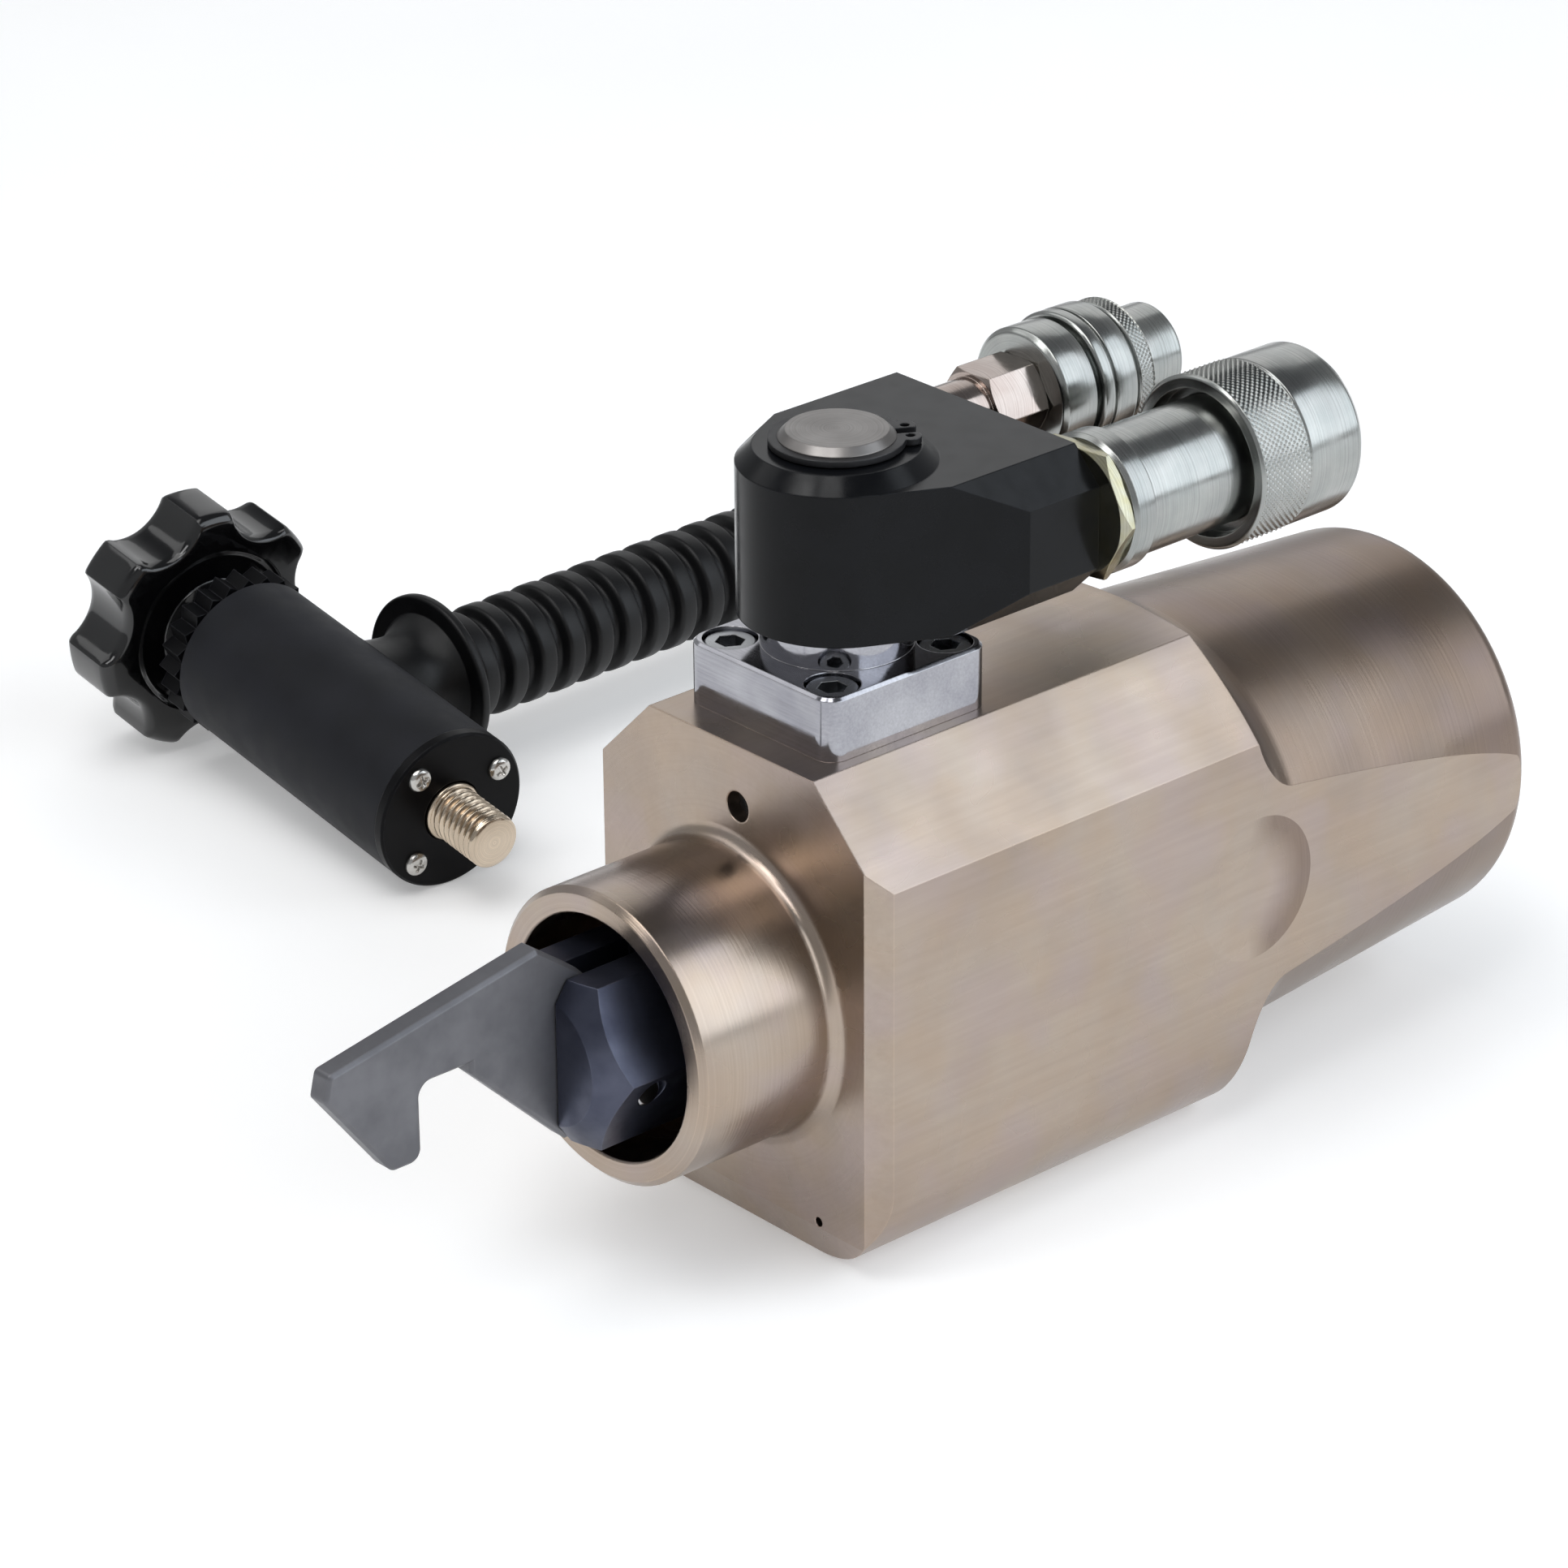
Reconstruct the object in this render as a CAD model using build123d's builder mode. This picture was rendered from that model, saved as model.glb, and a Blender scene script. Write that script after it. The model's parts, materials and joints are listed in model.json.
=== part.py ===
from build123d import *
from math import atan, cos, radians, sin, sqrt
import os

# Drive unit of a low-profile hydraulic torque wrench, with its positioning handle, in millimetres.
# The unit stands on its base at z = 0. The swivel turns about the Z axis. The nose points to -Y.

# Fits, measured on the radius unless they are named gaps
fixed_fit = 0.02
running_fit = 0.05
end_gap = 0.3

# Housing, outside
block_width = 80.0
block_height = 98.4
top_chamfer = 17.5
lower_round = 19.0
corner_bevel = 3.8
base_bevel_height = 7.0
base_bevel_depth = 2.6
front_y = -26.6
shoulder_start_y = 69.0
shoulder_end_y = 73.9
rear_y = 148.7
shoulder_radius = 55.0
barrel_start_radius = 45.2
barrel_end_radius = 40.2
shoulder_blend = 12.0
rear_round = 4.0
nose_radius = 29.0
nose_length = 32.4
nose_root_fillet = 2.8
nose_rim_chamfer = 1.2
dish_radius = 14.8
dish_depth = 1.3
dish_y = 71.5
dish_above_axis = 1.2
pin_hole_radius = 1.0
pin_hole_x = 23.6
pin_hole_z = 8.2
pin_hole_depth = 4.0

# Housing, bored from both ends
nose_bore_radius = 24.0
nose_bore_edge = 0.4
cavity_depth = 39.0
gland_radius = 22.6
gland_length = 34.0
rod_radius = 18.0
rod_way = 0.5
bore_radius = 27.0
stroke = 28.0
cap_depth = 21.8
cap_radius = 29.5
cap_pilot = 6.0

# Threaded hole for the handle, on the far side, and the plugged oil gallery on the front
handle_hole_radius = 5.1
handle_hole_depth = 18.0
handle_hole_setback = 12.0
handle_hole_above_axis = 24.0
gallery_x = 2.0
gallery_below_top = 12.2
gallery_radius = 2.0
plug_radius = 3.0
plug_length = 7.0
plug_recess = 3.0
plug_socket_across = 3.0
riser_radius = 3.0

# Swivel flange and its screws
flange_size = 40.0
flange_corner = 4.0
flange_thickness = 12.6
flange_edge = 0.6
flange_boss_radius = 14.3
screw_spacing = 28.0
screw_radius = 2.95
screw_clearance = 0.35
screw_grip = 11.0
head_radius = 5.0
head_height = 6.0
head_clearance = 0.25
head_socket_across = 5.0
head_socket_depth = 3.2

# Swivel post, its rings and its oil ways
post_radius = 10.9
post_spigot_radius = 9.0
post_stand = 6.0
post_edge = 1.4
ring_groove_depth = 0.7
ring_thickness = 1.2
ring_width = 2.4
ring_lug_radius = 2.1
ring_lug_turn = 11.0
ring_lug_direction = 59.0
ring_hole_radius = 0.9
ring_gap = 2.6
seal_width = 2.6
seal_depth = 1.9
seal_pitch = 8.4
post_way_radius = 2.0
post_way_offset = 4.0
post_port_radius = 1.7

# Manifold
manifold_gap = 6.5
manifold_height = 29.4
manifold_front_radius = 18.7
manifold_half_width = 30.5
manifold_flare_y = 19.4
manifold_rear_y = 36.9
manifold_chamfer = 6.6
manifold_boss_height = 3.0
manifold_boss_radius = 15.6
port_x = 23.8
port_rise = 16.3
port_radius = 4.9
port_depth = 13.0
passage_radius = 2.0
passage_step = 4.0

# Female coupler
adapter_hex_across = 24.6
adapter_hex_length = 3.0
nipple_length = 8.5
nipple_way = 2.4
female_ring_radius = 13.6
female_ring_length = 5.8
female_radius = 12.4
female_length = 53.4
female_chamber_radius = 7.5
female_lip_start = 36.1
female_lip = 2.0
female_lip_radius = 5.6
female_socket_radius = 9.8
sleeve_radius = 17.0
sleeve_length = 28.2
sleeve_start = 29.7
sleeve_skirt_radius = 14.4
sleeve_skirt_depth = 3.6
sleeve_web = 6.4
sleeve_thread_radius = 14.6
sleeve_knurl_share = 0.45
sleeve_relief = 0.3
sleeve_edge = 2.0
wire_from_web = 2.0
wire_width = 1.4
wire_inner_radius = 11.5
wire_outer_radius = 13.2

# Male coupler
extension_radius = 6.8
extension_length = 19.0
extension_hex_across = 15.5
extension_hex_length = 12.9
male_nipple_length = 8.0
male_flange_radius = 13.1
male_flange_length = 8.4
male_radius = 13.9
male_body_end = 18.4
male_knurl_length = 5.4
male_knurl_radius = 13.4
male_nose_radius = 9.7
male_length = 35.7
male_groove = 1.2
male_groove_depth = 1.4
male_line_after_flange = 4.0
male_chamber_radius = 6.2
male_lip_from_end = 4.6
male_lip = 2.0
male_lip_radius = 4.6
male_mouth_radius = 6.6

# Coupler valves
poppet_flange = 3.0
poppet_stem_radius = 2.4
poppet_stem_length = 7.0
poppet_recess = 0.2
valve_travel = 3.0
valve_room = 7.0
spring_wire = 0.55
spring_turns = 4

# Piston, rod end and hook
piston_length = 36.0
piston_spigot_radius = 11.0
piston_nut_across = 30.0
piston_nut_thickness = 11.0
piston_seal_width = 4.0
piston_seal_depth = 3.0
clevis_front_y = -71.5
clevis_across = 33.0
clevis_hex_length = 25.5
clevis_hub_radius = 15.0
clevis_hub_length = 6.0
clevis_front_radius = 12.8
clevis_front_bevel = 4.5
slot_depth = 22.4
slot_clearance = 0.3
stub_radius = 8.0
stub_length = 8.2
pivot_from_front = 10.7
pivot_below_axis = 4.0
pivot_radius = 3.0
pivot_recess = 1.0
wiper_depth = 4.8
wiper_lip = 1.6
wiper_groove_radius = 20.4

# Hook plate: distances forward of its pivot and above it
hook_thickness = 5.2
hook_edge = 0.7
hook_tail_radius = 11.3
hook_tip = (61.6, 19.8)
hook_brow = (62.8, 14.8)
hook_beak_front = 48.5
hook_beak_back = 41.8
hook_beak_level = -4.1
hook_throat_back = 30.1
hook_throat_level = 11.1
hook_throat_lip = 2.1
hook_heel = (8.6, -12.1)
hook_shoulder = (5.0, 21.6)
hook_back = (14.2, 28.4)
hook_corner = 1.2
hook_beak_round = 2.4
hook_throat_round = 3.0

# Handle, lying on the floor beside the unit
handle_x = -144.7
handle_y = 22.3
head_turn = -3.8
head_outer_radius = 17.8
head_length = 77.5
head_edge = 1.0
stud_radius = 6.0
stud_reach = 15.4
stud_edge = 1.0
stud_shank_radius = 6.6
stud_collar = 1.0
stud_way = 0.3
plate_thickness = 2.6
plate_edge = 0.5
crown_teeth = 24
crown_radius = 18.6
crown_root_radius = 16.6
crown_thickness = 6.0
knob_radius = 28.0
knob_lobes = 7
knob_phase = -13.0
knob_thickness = 16.4
knob_valley_radius = 8.8
knob_valley_centre = 31.6
knob_lobe_round = 5.0
knob_edge = 1.6
knob_dish_radius = 18.5
knob_dish_depth = 1.4
knob_hub_radius = 11.0
knob_hub_length = 6.7
knob_seat = 10.0
grip_setback = 46.4
grip_turn = 91.7
grip_drop = 0.5
grip_seat = 8.0
grip_length = 145.2
grip_stem_radius = 6.5
grip_neck_radius = 13.5
grip_waist_radius = 12.0
grip_waist_at = 21.0
grip_guard_radius = 19.0
grip_guard_start = 27.8
grip_guard_thickness = 2.4
grip_collar_radius = 13.2
grip_collar_length = 3.4
grip_rib_radius = 12.4
grip_valley_radius = 10.6
grip_rib_count = 12
grip_rib_flank = 1.2
grip_rib_space = 2.2
grip_end_length = 12.0
grip_end_radius = 13.4
grip_end_round = 3.0
plate_screw_circle = 13.4
plate_screw_angles = (41.5, 139.8, 300.8)
plate_screw_radius = 1.5
plate_screw_head = 2.7
plate_screw_head_height = 1.5
plate_screw_depth = 7.0

# Levels and stations that follow from the sizes
axis_z = block_height / 2
gallery_z = block_height - gallery_below_top
nose_y = front_y - nose_length
cavity_y = nose_y + cavity_depth
gland_rear_y = cavity_y + gland_length
cap_y = rear_y - cap_depth
piston_rear_y = cap_y - end_gap
piston_front_y = piston_rear_y - piston_length
chamber_y = piston_front_y - stroke - end_gap
flange_top_z = block_height + flange_thickness
manifold_z = flange_top_z + manifold_gap
manifold_top_z = manifold_z + manifold_height
post_top_z = manifold_top_z + post_stand
port_z = manifold_z + port_rise
flange_boss_z = manifold_z - end_gap
boss_top_z = manifold_top_z + manifold_boss_height
ring_z = boss_top_z + end_gap
hook_slot = hook_thickness + 2 * slot_clearance
pivot_y = clevis_front_y + pivot_from_front
pivot_z = axis_z - pivot_below_axis
clevis_rear_y = clevis_front_y + clevis_hex_length + clevis_hub_length

valve_length = poppet_flange + poppet_stem_length + valve_travel + valve_room
female_chamber_start = female_lip_start - valve_length

bore_plane = Plane(origin=(0, 0, axis_z), x_dir=(0, 1, 0), z_dir=(1, 0, 0))
female_plane = Plane(origin=(port_x, manifold_rear_y, port_z), x_dir=(0, 1, 0), z_dir=(1, 0, 0))
male_plane = Plane(origin=(-port_x, manifold_rear_y, port_z), x_dir=(0, 1, 0), z_dir=(1, 0, 0))
post_plane = Plane(origin=(0, 0, 0), x_dir=(0, 0, 1), z_dir=(0, -1, 0))

# The knob is wider than the head, so the handle lies tilted on the plate end and on the knob's rim
knob_station = head_length + crown_thickness + end_gap
knob_face_station = knob_station + knob_hub_length
head_tilt = atan((knob_radius - head_outer_radius) / (knob_face_station + knob_edge))
turn_angle = radians(head_turn)
head_axis = Vector(
    cos(turn_angle) * cos(head_tilt), sin(turn_angle) * cos(head_tilt), -sin(head_tilt)
)
head_origin = Vector(handle_x, handle_y, head_outer_radius * cos(head_tilt))
grip_root = head_origin - head_axis * grip_setback
grip_axis = Vector(
    cos(radians(grip_turn)) * cos(radians(grip_drop)),
    sin(radians(grip_turn)) * cos(radians(grip_drop)),
    -sin(radians(grip_drop)),
)

# Both planes have their local x axis along the part, as the bore's plane has
head_plane = Plane(origin=head_origin, x_dir=head_axis, z_dir=head_axis.cross(grip_axis))
grip_plane = Plane(origin=grip_root, x_dir=grip_axis, z_dir=grip_axis.cross(head_axis))


def turn(points, plane, mode=Mode.ADD):
    """Turn (along, radius) points about the local x axis of a plane."""
    with BuildSketch(plane) as profile:
        with BuildLine():
            Polyline(*points, close=True)
        make_face()
    revolve(profile.sketch, axis=Axis(plane.origin, plane.x_dir), mode=mode)


def tube(start, end, outer, inner, plane, mode=Mode.ADD):
    """Add a plain ring between two stations of a plane's local x axis."""
    turn([(start, inner), (end, inner), (end, outer), (start, outer)], plane, mode)


def bar(start, end, radius, plane, mode=Mode.ADD):
    """Add or cut a plain round bar between two stations of a plane's local x axis."""
    turn([(start, 0), (end, 0), (end, radius), (start, radius)], plane, mode)


def across_plane(plane, station):
    """Plane square to another plane's local x axis, at a station along it."""
    return Plane(origin=plane.origin + plane.x_dir * station, x_dir=plane.z_dir, z_dir=plane.x_dir)


def hexagon(start, length, across, plane, mode=Mode.ADD):
    """Add or cut a hexagonal prism along a plane's local x axis."""
    with BuildSketch(across_plane(plane, start)) as outline:
        RegularPolygon(across / 2, 6, major_radius=False)
    extrude(outline.sketch, amount=length, mode=mode)


def nut_corners(start, end, across, plane):
    """Round off the corners of a hexagon at both ends, as on a turned nut."""
    corner = across / sqrt(3)
    flat = across / 2
    bevel = (corner - flat) / sqrt(3)
    turn(
        [(start, 0), (start, flat), (start + bevel, corner), (end - bevel, corner), (end, flat), (end, 0)],
        plane,
        Mode.INTERSECT,
    )


# Housing: a milled block section, trimmed by a turned outline that makes the shoulder and the barrel
with BuildPart() as housing:
    with BuildSketch(Plane.XZ.offset(-rear_y)) as section:
        with Locations((0, block_height / 2)):
            Rectangle(block_width, block_height)
        chamfer(section.vertices().group_by(Axis.Y)[-1], top_chamfer)
        fillet(section.vertices().group_by(Axis.Y)[0], lower_round)
    extrude(amount=rear_y - front_y)
    with BuildSketch(Plane.XY) as plan:
        with Locations((0, (front_y + rear_y) / 2)):
            Rectangle(block_width, rear_y - front_y)
        chamfer(plan.vertices().group_by(Axis.Y)[0], corner_bevel)
    extrude(amount=block_height, mode=Mode.INTERSECT)
    with BuildSketch(Plane.YZ) as side:
        with BuildLine():
            Polyline(
                (front_y, base_bevel_height),
                (front_y + base_bevel_depth, 0),
                (rear_y, 0),
                (rear_y, block_height),
                (front_y, block_height),
                close=True,
            )
        make_face()
    extrude(amount=block_width, both=True, mode=Mode.INTERSECT)
    with BuildSketch(bore_plane) as outline:
        with BuildLine():
            Polyline(
                (front_y, 0),
                (front_y, block_height),
                (shoulder_start_y, block_height),
                (shoulder_start_y, shoulder_radius),
                (shoulder_end_y, barrel_start_radius),
                (rear_y, barrel_end_radius),
                (rear_y, 0),
                close=True,
            )
        make_face()
        corners = outline.vertices().filter_by(lambda v: 1 < v.Y < shoulder_radius - 1)
        fillet(corners.sort_by(Axis.X)[0], shoulder_blend)
        fillet(outline.vertices().group_by(Axis.X)[-1].sort_by(Axis.Y)[-1], rear_round)
    revolve(axis=Axis(bore_plane.origin, bore_plane.x_dir), mode=Mode.INTERSECT)

    # Nose, with its root fillet
    with BuildSketch(bore_plane) as nose:
        with BuildLine():
            Polyline(
                (front_y + corner_bevel, 0),
                (front_y + corner_bevel, nose_radius + 2 * nose_root_fillet),
                (front_y, nose_radius + 2 * nose_root_fillet),
                (front_y, nose_radius),
                (nose_y, nose_radius),
                (nose_y, 0),
                close=True,
            )
        make_face()
        root = nose.vertices().filter_by(lambda v: abs(v.X - front_y) < 0.1 and abs(v.Y - nose_radius) < 0.1)
        fillet(root, nose_root_fillet)
        rim = nose.vertices().group_by(Axis.X)[0].sort_by(Axis.Y)[-1]
        chamfer(rim, nose_rim_chamfer)
    revolve(axis=Axis(bore_plane.origin, bore_plane.x_dir))

    # Bored from the front for the rod and its gland, and from the rear for the piston and its cap
    turn(
        [
            (nose_y - 1, 0),
            (nose_y - 1, nose_bore_radius + nose_bore_edge + 1),
            (nose_y + nose_bore_edge, nose_bore_radius),
            (cavity_y, nose_bore_radius),
            (cavity_y, gland_radius),
            (gland_rear_y, gland_radius),
            (gland_rear_y, rod_radius + rod_way),
            (chamber_y, rod_radius + rod_way),
            (chamber_y, bore_radius),
            (cap_y + cap_pilot, bore_radius),
            (cap_y + cap_pilot, cap_radius),
            (rear_y + 1, cap_radius),
            (rear_y + 1, 0),
        ],
        bore_plane,
        Mode.SUBTRACT,
    )

    # Shallow round dish on the near side, across the shoulder
    dish_curve = (dish_radius**2 + dish_depth**2) / (2 * dish_depth)
    with Locations((block_width / 2 + dish_curve - dish_depth, dish_y, axis_z + dish_above_axis)):
        Sphere(dish_curve, mode=Mode.SUBTRACT)

    # Holes: flange screws, oil riser, plugged gallery, locating pin and the handle's thread
    with BuildSketch(Plane.XY.offset(block_height)):
        with GridLocations(screw_spacing, screw_spacing, 2, 2):
            Circle(screw_radius + fixed_fit)
    extrude(amount=-(screw_grip + 1), mode=Mode.SUBTRACT)
    with BuildSketch(Plane.XY.offset(block_height)):
        Circle(riser_radius)
    extrude(amount=gallery_z - block_height, mode=Mode.SUBTRACT)
    with BuildSketch(Plane.XZ.offset(-front_y)):
        with Locations((gallery_x, gallery_z)):
            Circle(gallery_radius)
    extrude(amount=front_y, mode=Mode.SUBTRACT)
    with BuildSketch(Plane.XZ.offset(-front_y)):
        with Locations((gallery_x, gallery_z)):
            Circle(plug_radius + fixed_fit)
    extrude(amount=-(plug_length + plug_recess), mode=Mode.SUBTRACT)
    with BuildSketch(Plane.XZ.offset(-front_y)):
        with Locations((pin_hole_x, pin_hole_z)):
            Circle(pin_hole_radius)
    extrude(amount=-pin_hole_depth, mode=Mode.SUBTRACT)
    with BuildSketch(Plane.YZ.offset(-block_width / 2)):
        with Locations((front_y + handle_hole_setback, axis_z + handle_hole_above_axis)):
            Circle(handle_hole_radius)
    extrude(amount=handle_hole_depth, mode=Mode.SUBTRACT)

with BuildPart() as gallery_plug:
    with BuildSketch(Plane.XZ.offset(-front_y - plug_recess)):
        with Locations((gallery_x, gallery_z)):
            Circle(plug_radius)
    extrude(amount=-plug_length)
    with BuildSketch(Plane.XZ.offset(-front_y - plug_recess)):
        with Locations((gallery_x, gallery_z)):
            RegularPolygon(plug_socket_across / 2, 6, major_radius=False)
    extrude(amount=-plug_length / 2, mode=Mode.SUBTRACT)

# Rear cap, screwed into the barrel and turned by a pin spanner
with BuildPart() as end_cap:
    turn(
        [
            (cap_y, 0),
            (cap_y, bore_radius - running_fit),
            (cap_y + cap_pilot + end_gap, bore_radius - running_fit),
            (cap_y + cap_pilot + end_gap, cap_radius - fixed_fit),
            (rear_y - 1, cap_radius - fixed_fit),
            (rear_y - 1, cap_radius - 1.5),
            (rear_y - 2, cap_radius - 2.5),
            (rear_y - 2, 0),
        ],
        bore_plane,
    )
    tube(cap_y + 1.4, cap_y + 4.2, bore_radius + 1, bore_radius - 2.2, bore_plane, Mode.SUBTRACT)
    with BuildSketch(across_plane(bore_plane, rear_y - 2)):
        with PolarLocations(cap_radius * 0.65, 4):
            Circle(3)
    extrude(amount=-8, mode=Mode.SUBTRACT)

with BuildPart() as end_cap_seal:
    tube(
        cap_y + 1.5, cap_y + 4.1, bore_radius - fixed_fit, bore_radius - 2.2 + fixed_fit, bore_plane
    )

with BuildPart() as rod_gland:
    tube(cavity_y, gland_rear_y, gland_radius - fixed_fit, rod_radius + running_fit, bore_plane)
    tube(cavity_y, cavity_y + wiper_depth, wiper_groove_radius, rod_radius, bore_plane, Mode.SUBTRACT)
    tube(
        cavity_y + 3 * wiper_depth,
        cavity_y + 4 * wiper_depth,
        wiper_groove_radius,
        rod_radius,
        bore_plane,
        Mode.SUBTRACT,
    )
    with BuildSketch(across_plane(bore_plane, cavity_y)):
        with PolarLocations(gland_radius, 4, start_angle=45):
            Circle(1.6)
    extrude(amount=4, mode=Mode.SUBTRACT)

with BuildPart() as gland_seal:
    tube(
        cavity_y + 3 * wiper_depth + fixed_fit,
        cavity_y + 4 * wiper_depth - fixed_fit,
        wiper_groove_radius - fixed_fit,
        rod_radius + running_fit,
        bore_plane,
    )

with BuildPart() as rod_wiper:
    turn(
        [
            (cavity_y + wiper_depth - fixed_fit, rod_radius + running_fit),
            (cavity_y + wiper_depth - fixed_fit, wiper_groove_radius - fixed_fit),
            (cavity_y, wiper_groove_radius - fixed_fit),
            (cavity_y - wiper_lip, rod_radius + 0.8),
            (cavity_y - wiper_lip, rod_radius + running_fit),
        ],
        bore_plane,
    )

# Piston with its seal, nut and rod
with BuildPart() as piston:
    tube(piston_front_y, piston_rear_y, bore_radius - running_fit, piston_spigot_radius + fixed_fit, bore_plane)
    bar(
        piston_rear_y - piston_nut_thickness - 1,
        piston_rear_y,
        piston_nut_across / sqrt(3) + 0.6,
        bore_plane,
        Mode.SUBTRACT,
    )
    seal_start = piston_front_y + piston_length / 3
    tube(
        seal_start,
        seal_start + piston_seal_width,
        bore_radius,
        bore_radius - piston_seal_depth,
        bore_plane,
        Mode.SUBTRACT,
    )

with BuildPart() as piston_seal:
    tube(
        seal_start + fixed_fit,
        seal_start + piston_seal_width - fixed_fit,
        bore_radius - fixed_fit,
        bore_radius - piston_seal_depth + fixed_fit,
        bore_plane,
    )

with BuildPart() as piston_nut:
    hexagon(piston_rear_y - piston_nut_thickness - 1, piston_nut_thickness, piston_nut_across, bore_plane)
    nut_corners(
        piston_rear_y - piston_nut_thickness - 1, piston_rear_y - 1, piston_nut_across, bore_plane
    )
    bar(piston_front_y, piston_rear_y, piston_spigot_radius + fixed_fit, bore_plane, Mode.SUBTRACT)

with BuildPart() as piston_rod:
    turn(
        [
            (clevis_rear_y - stub_length, 0),
            (clevis_rear_y - stub_length, stub_radius),
            (clevis_rear_y, stub_radius),
            (clevis_rear_y, rod_radius - 2),
            (clevis_rear_y + 2, rod_radius),
            (piston_front_y, rod_radius),
            (piston_front_y, piston_spigot_radius),
            (piston_rear_y - 1, piston_spigot_radius),
            (piston_rear_y - 1, 0),
        ],
        bore_plane,
    )

# Clevis: hexagonal rod end, slotted for the hook
with BuildPart() as clevis:
    hexagon(clevis_front_y, clevis_hex_length, clevis_across, bore_plane)
    turn(
        [
            (clevis_front_y, 0),
            (clevis_front_y, clevis_front_radius),
            (clevis_front_y + clevis_front_bevel, clevis_across / sqrt(3)),
            (clevis_rear_y - clevis_hub_length - 1, clevis_across / sqrt(3)),
            (clevis_rear_y - clevis_hub_length, clevis_across / 2),
            (clevis_rear_y - clevis_hub_length, 0),
        ],
        bore_plane,
        Mode.INTERSECT,
    )
    bar(clevis_rear_y - clevis_hub_length, clevis_rear_y, clevis_hub_radius, bore_plane)
    bar(
        clevis_rear_y - stub_length - end_gap,
        clevis_rear_y,
        stub_radius + fixed_fit,
        bore_plane,
        Mode.SUBTRACT,
    )
    with BuildSketch(across_plane(bore_plane, clevis_front_y)):
        Rectangle(hook_slot, 2 * clevis_across)
    extrude(amount=slot_depth, mode=Mode.SUBTRACT)
    with BuildSketch(Plane.YZ):
        with Locations((pivot_y, pivot_z)):
            Circle(pivot_radius + fixed_fit)
    extrude(amount=clevis_across, both=True, mode=Mode.SUBTRACT)

pin_half_length = clevis_across / sqrt(3) - pivot_below_axis / sqrt(3) - pivot_recess
with BuildPart() as hook_pin:
    with BuildSketch(Plane.YZ):
        with Locations((pivot_y, pivot_z)):
            Circle(pivot_radius)
    extrude(amount=pin_half_length, both=True)
    chamfer(hook_pin.edges().filter_by(GeomType.CIRCLE), 0.5)

# Hook plate: a rounded tail about the pivot, and the arm with its beak and throat
hook_plane = Plane(origin=(0, pivot_y, pivot_z), x_dir=(0, -1, 0), z_dir=(-1, 0, 0))
with BuildPart() as hook:
    with BuildSketch(hook_plane) as hook_outline:
        with BuildLine():
            Polyline((0, 0), hook_heel, hook_back, hook_shoulder, close=True)
        make_face()
        Circle(hook_tail_radius)
        make_hull()
        with BuildLine():
            FilletPolyline(
                hook_back,
                hook_tip,
                hook_brow,
                (hook_beak_front, hook_beak_level),
                (hook_beak_back, hook_beak_level),
                (hook_beak_back, hook_throat_level),
                (hook_throat_back, hook_throat_level),
                (hook_throat_back, hook_throat_level - hook_throat_lip),
                hook_heel,
                radius=(
                    0,
                    hook_corner,
                    hook_corner,
                    hook_beak_round,
                    hook_beak_round,
                    hook_throat_round,
                    0,
                    0,
                    0,
                ),
                close=True,
            )
        make_face()
    extrude(amount=hook_thickness / 2, both=True)
    chamfer(hook.faces().filter_by(Axis.X).edges(), hook_edge)
    with BuildSketch(hook_plane):
        Circle(pivot_radius + running_fit)
    extrude(amount=hook_thickness, both=True, mode=Mode.SUBTRACT)

# Swivel flange on four socket head screws, with the boss that the post's shoulder rests on
with BuildPart() as swivel_flange:
    with BuildSketch(Plane.XY.offset(block_height)) as square:
        Rectangle(flange_size, flange_size)
        fillet(square.vertices(), flange_corner)
    extrude(amount=flange_thickness)
    chamfer(swivel_flange.faces().sort_by(Axis.Z)[-1].edges(), flange_edge)
    bar(flange_top_z, flange_boss_z, flange_boss_radius, post_plane)
    with Locations((0, 0, flange_boss_z)):
        Hole(post_spigot_radius + fixed_fit)
    with Locations(Plane.XY.offset(flange_top_z)):
        with GridLocations(screw_spacing, screw_spacing, 2, 2):
            CounterBoreHole(
                radius=screw_radius + screw_clearance,
                counter_bore_radius=head_radius + head_clearance,
                counter_bore_depth=head_height + 0.6,
            )

with BuildPart() as flange_screws:
    with BuildSketch(Plane.XY.offset(flange_top_z - head_height - 0.6)):
        with GridLocations(screw_spacing, screw_spacing, 2, 2):
            Circle(head_radius)
    extrude(amount=head_height)
    chamfer(flange_screws.faces().group_by(Axis.Z)[-1].edges(), 0.4)
    with BuildSketch(Plane.XY.offset(flange_top_z - head_height - 0.6)):
        with GridLocations(screw_spacing, screw_spacing, 2, 2):
            Circle(screw_radius)
    extrude(amount=-(flange_thickness - head_height - 0.6 + screw_grip))
    with BuildSketch(Plane.XY.offset(flange_top_z - 0.6)):
        with GridLocations(screw_spacing, screw_spacing, 2, 2):
            RegularPolygon(head_socket_across / 2, 6, major_radius=False)
    extrude(amount=-head_socket_depth, mode=Mode.SUBTRACT)

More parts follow.
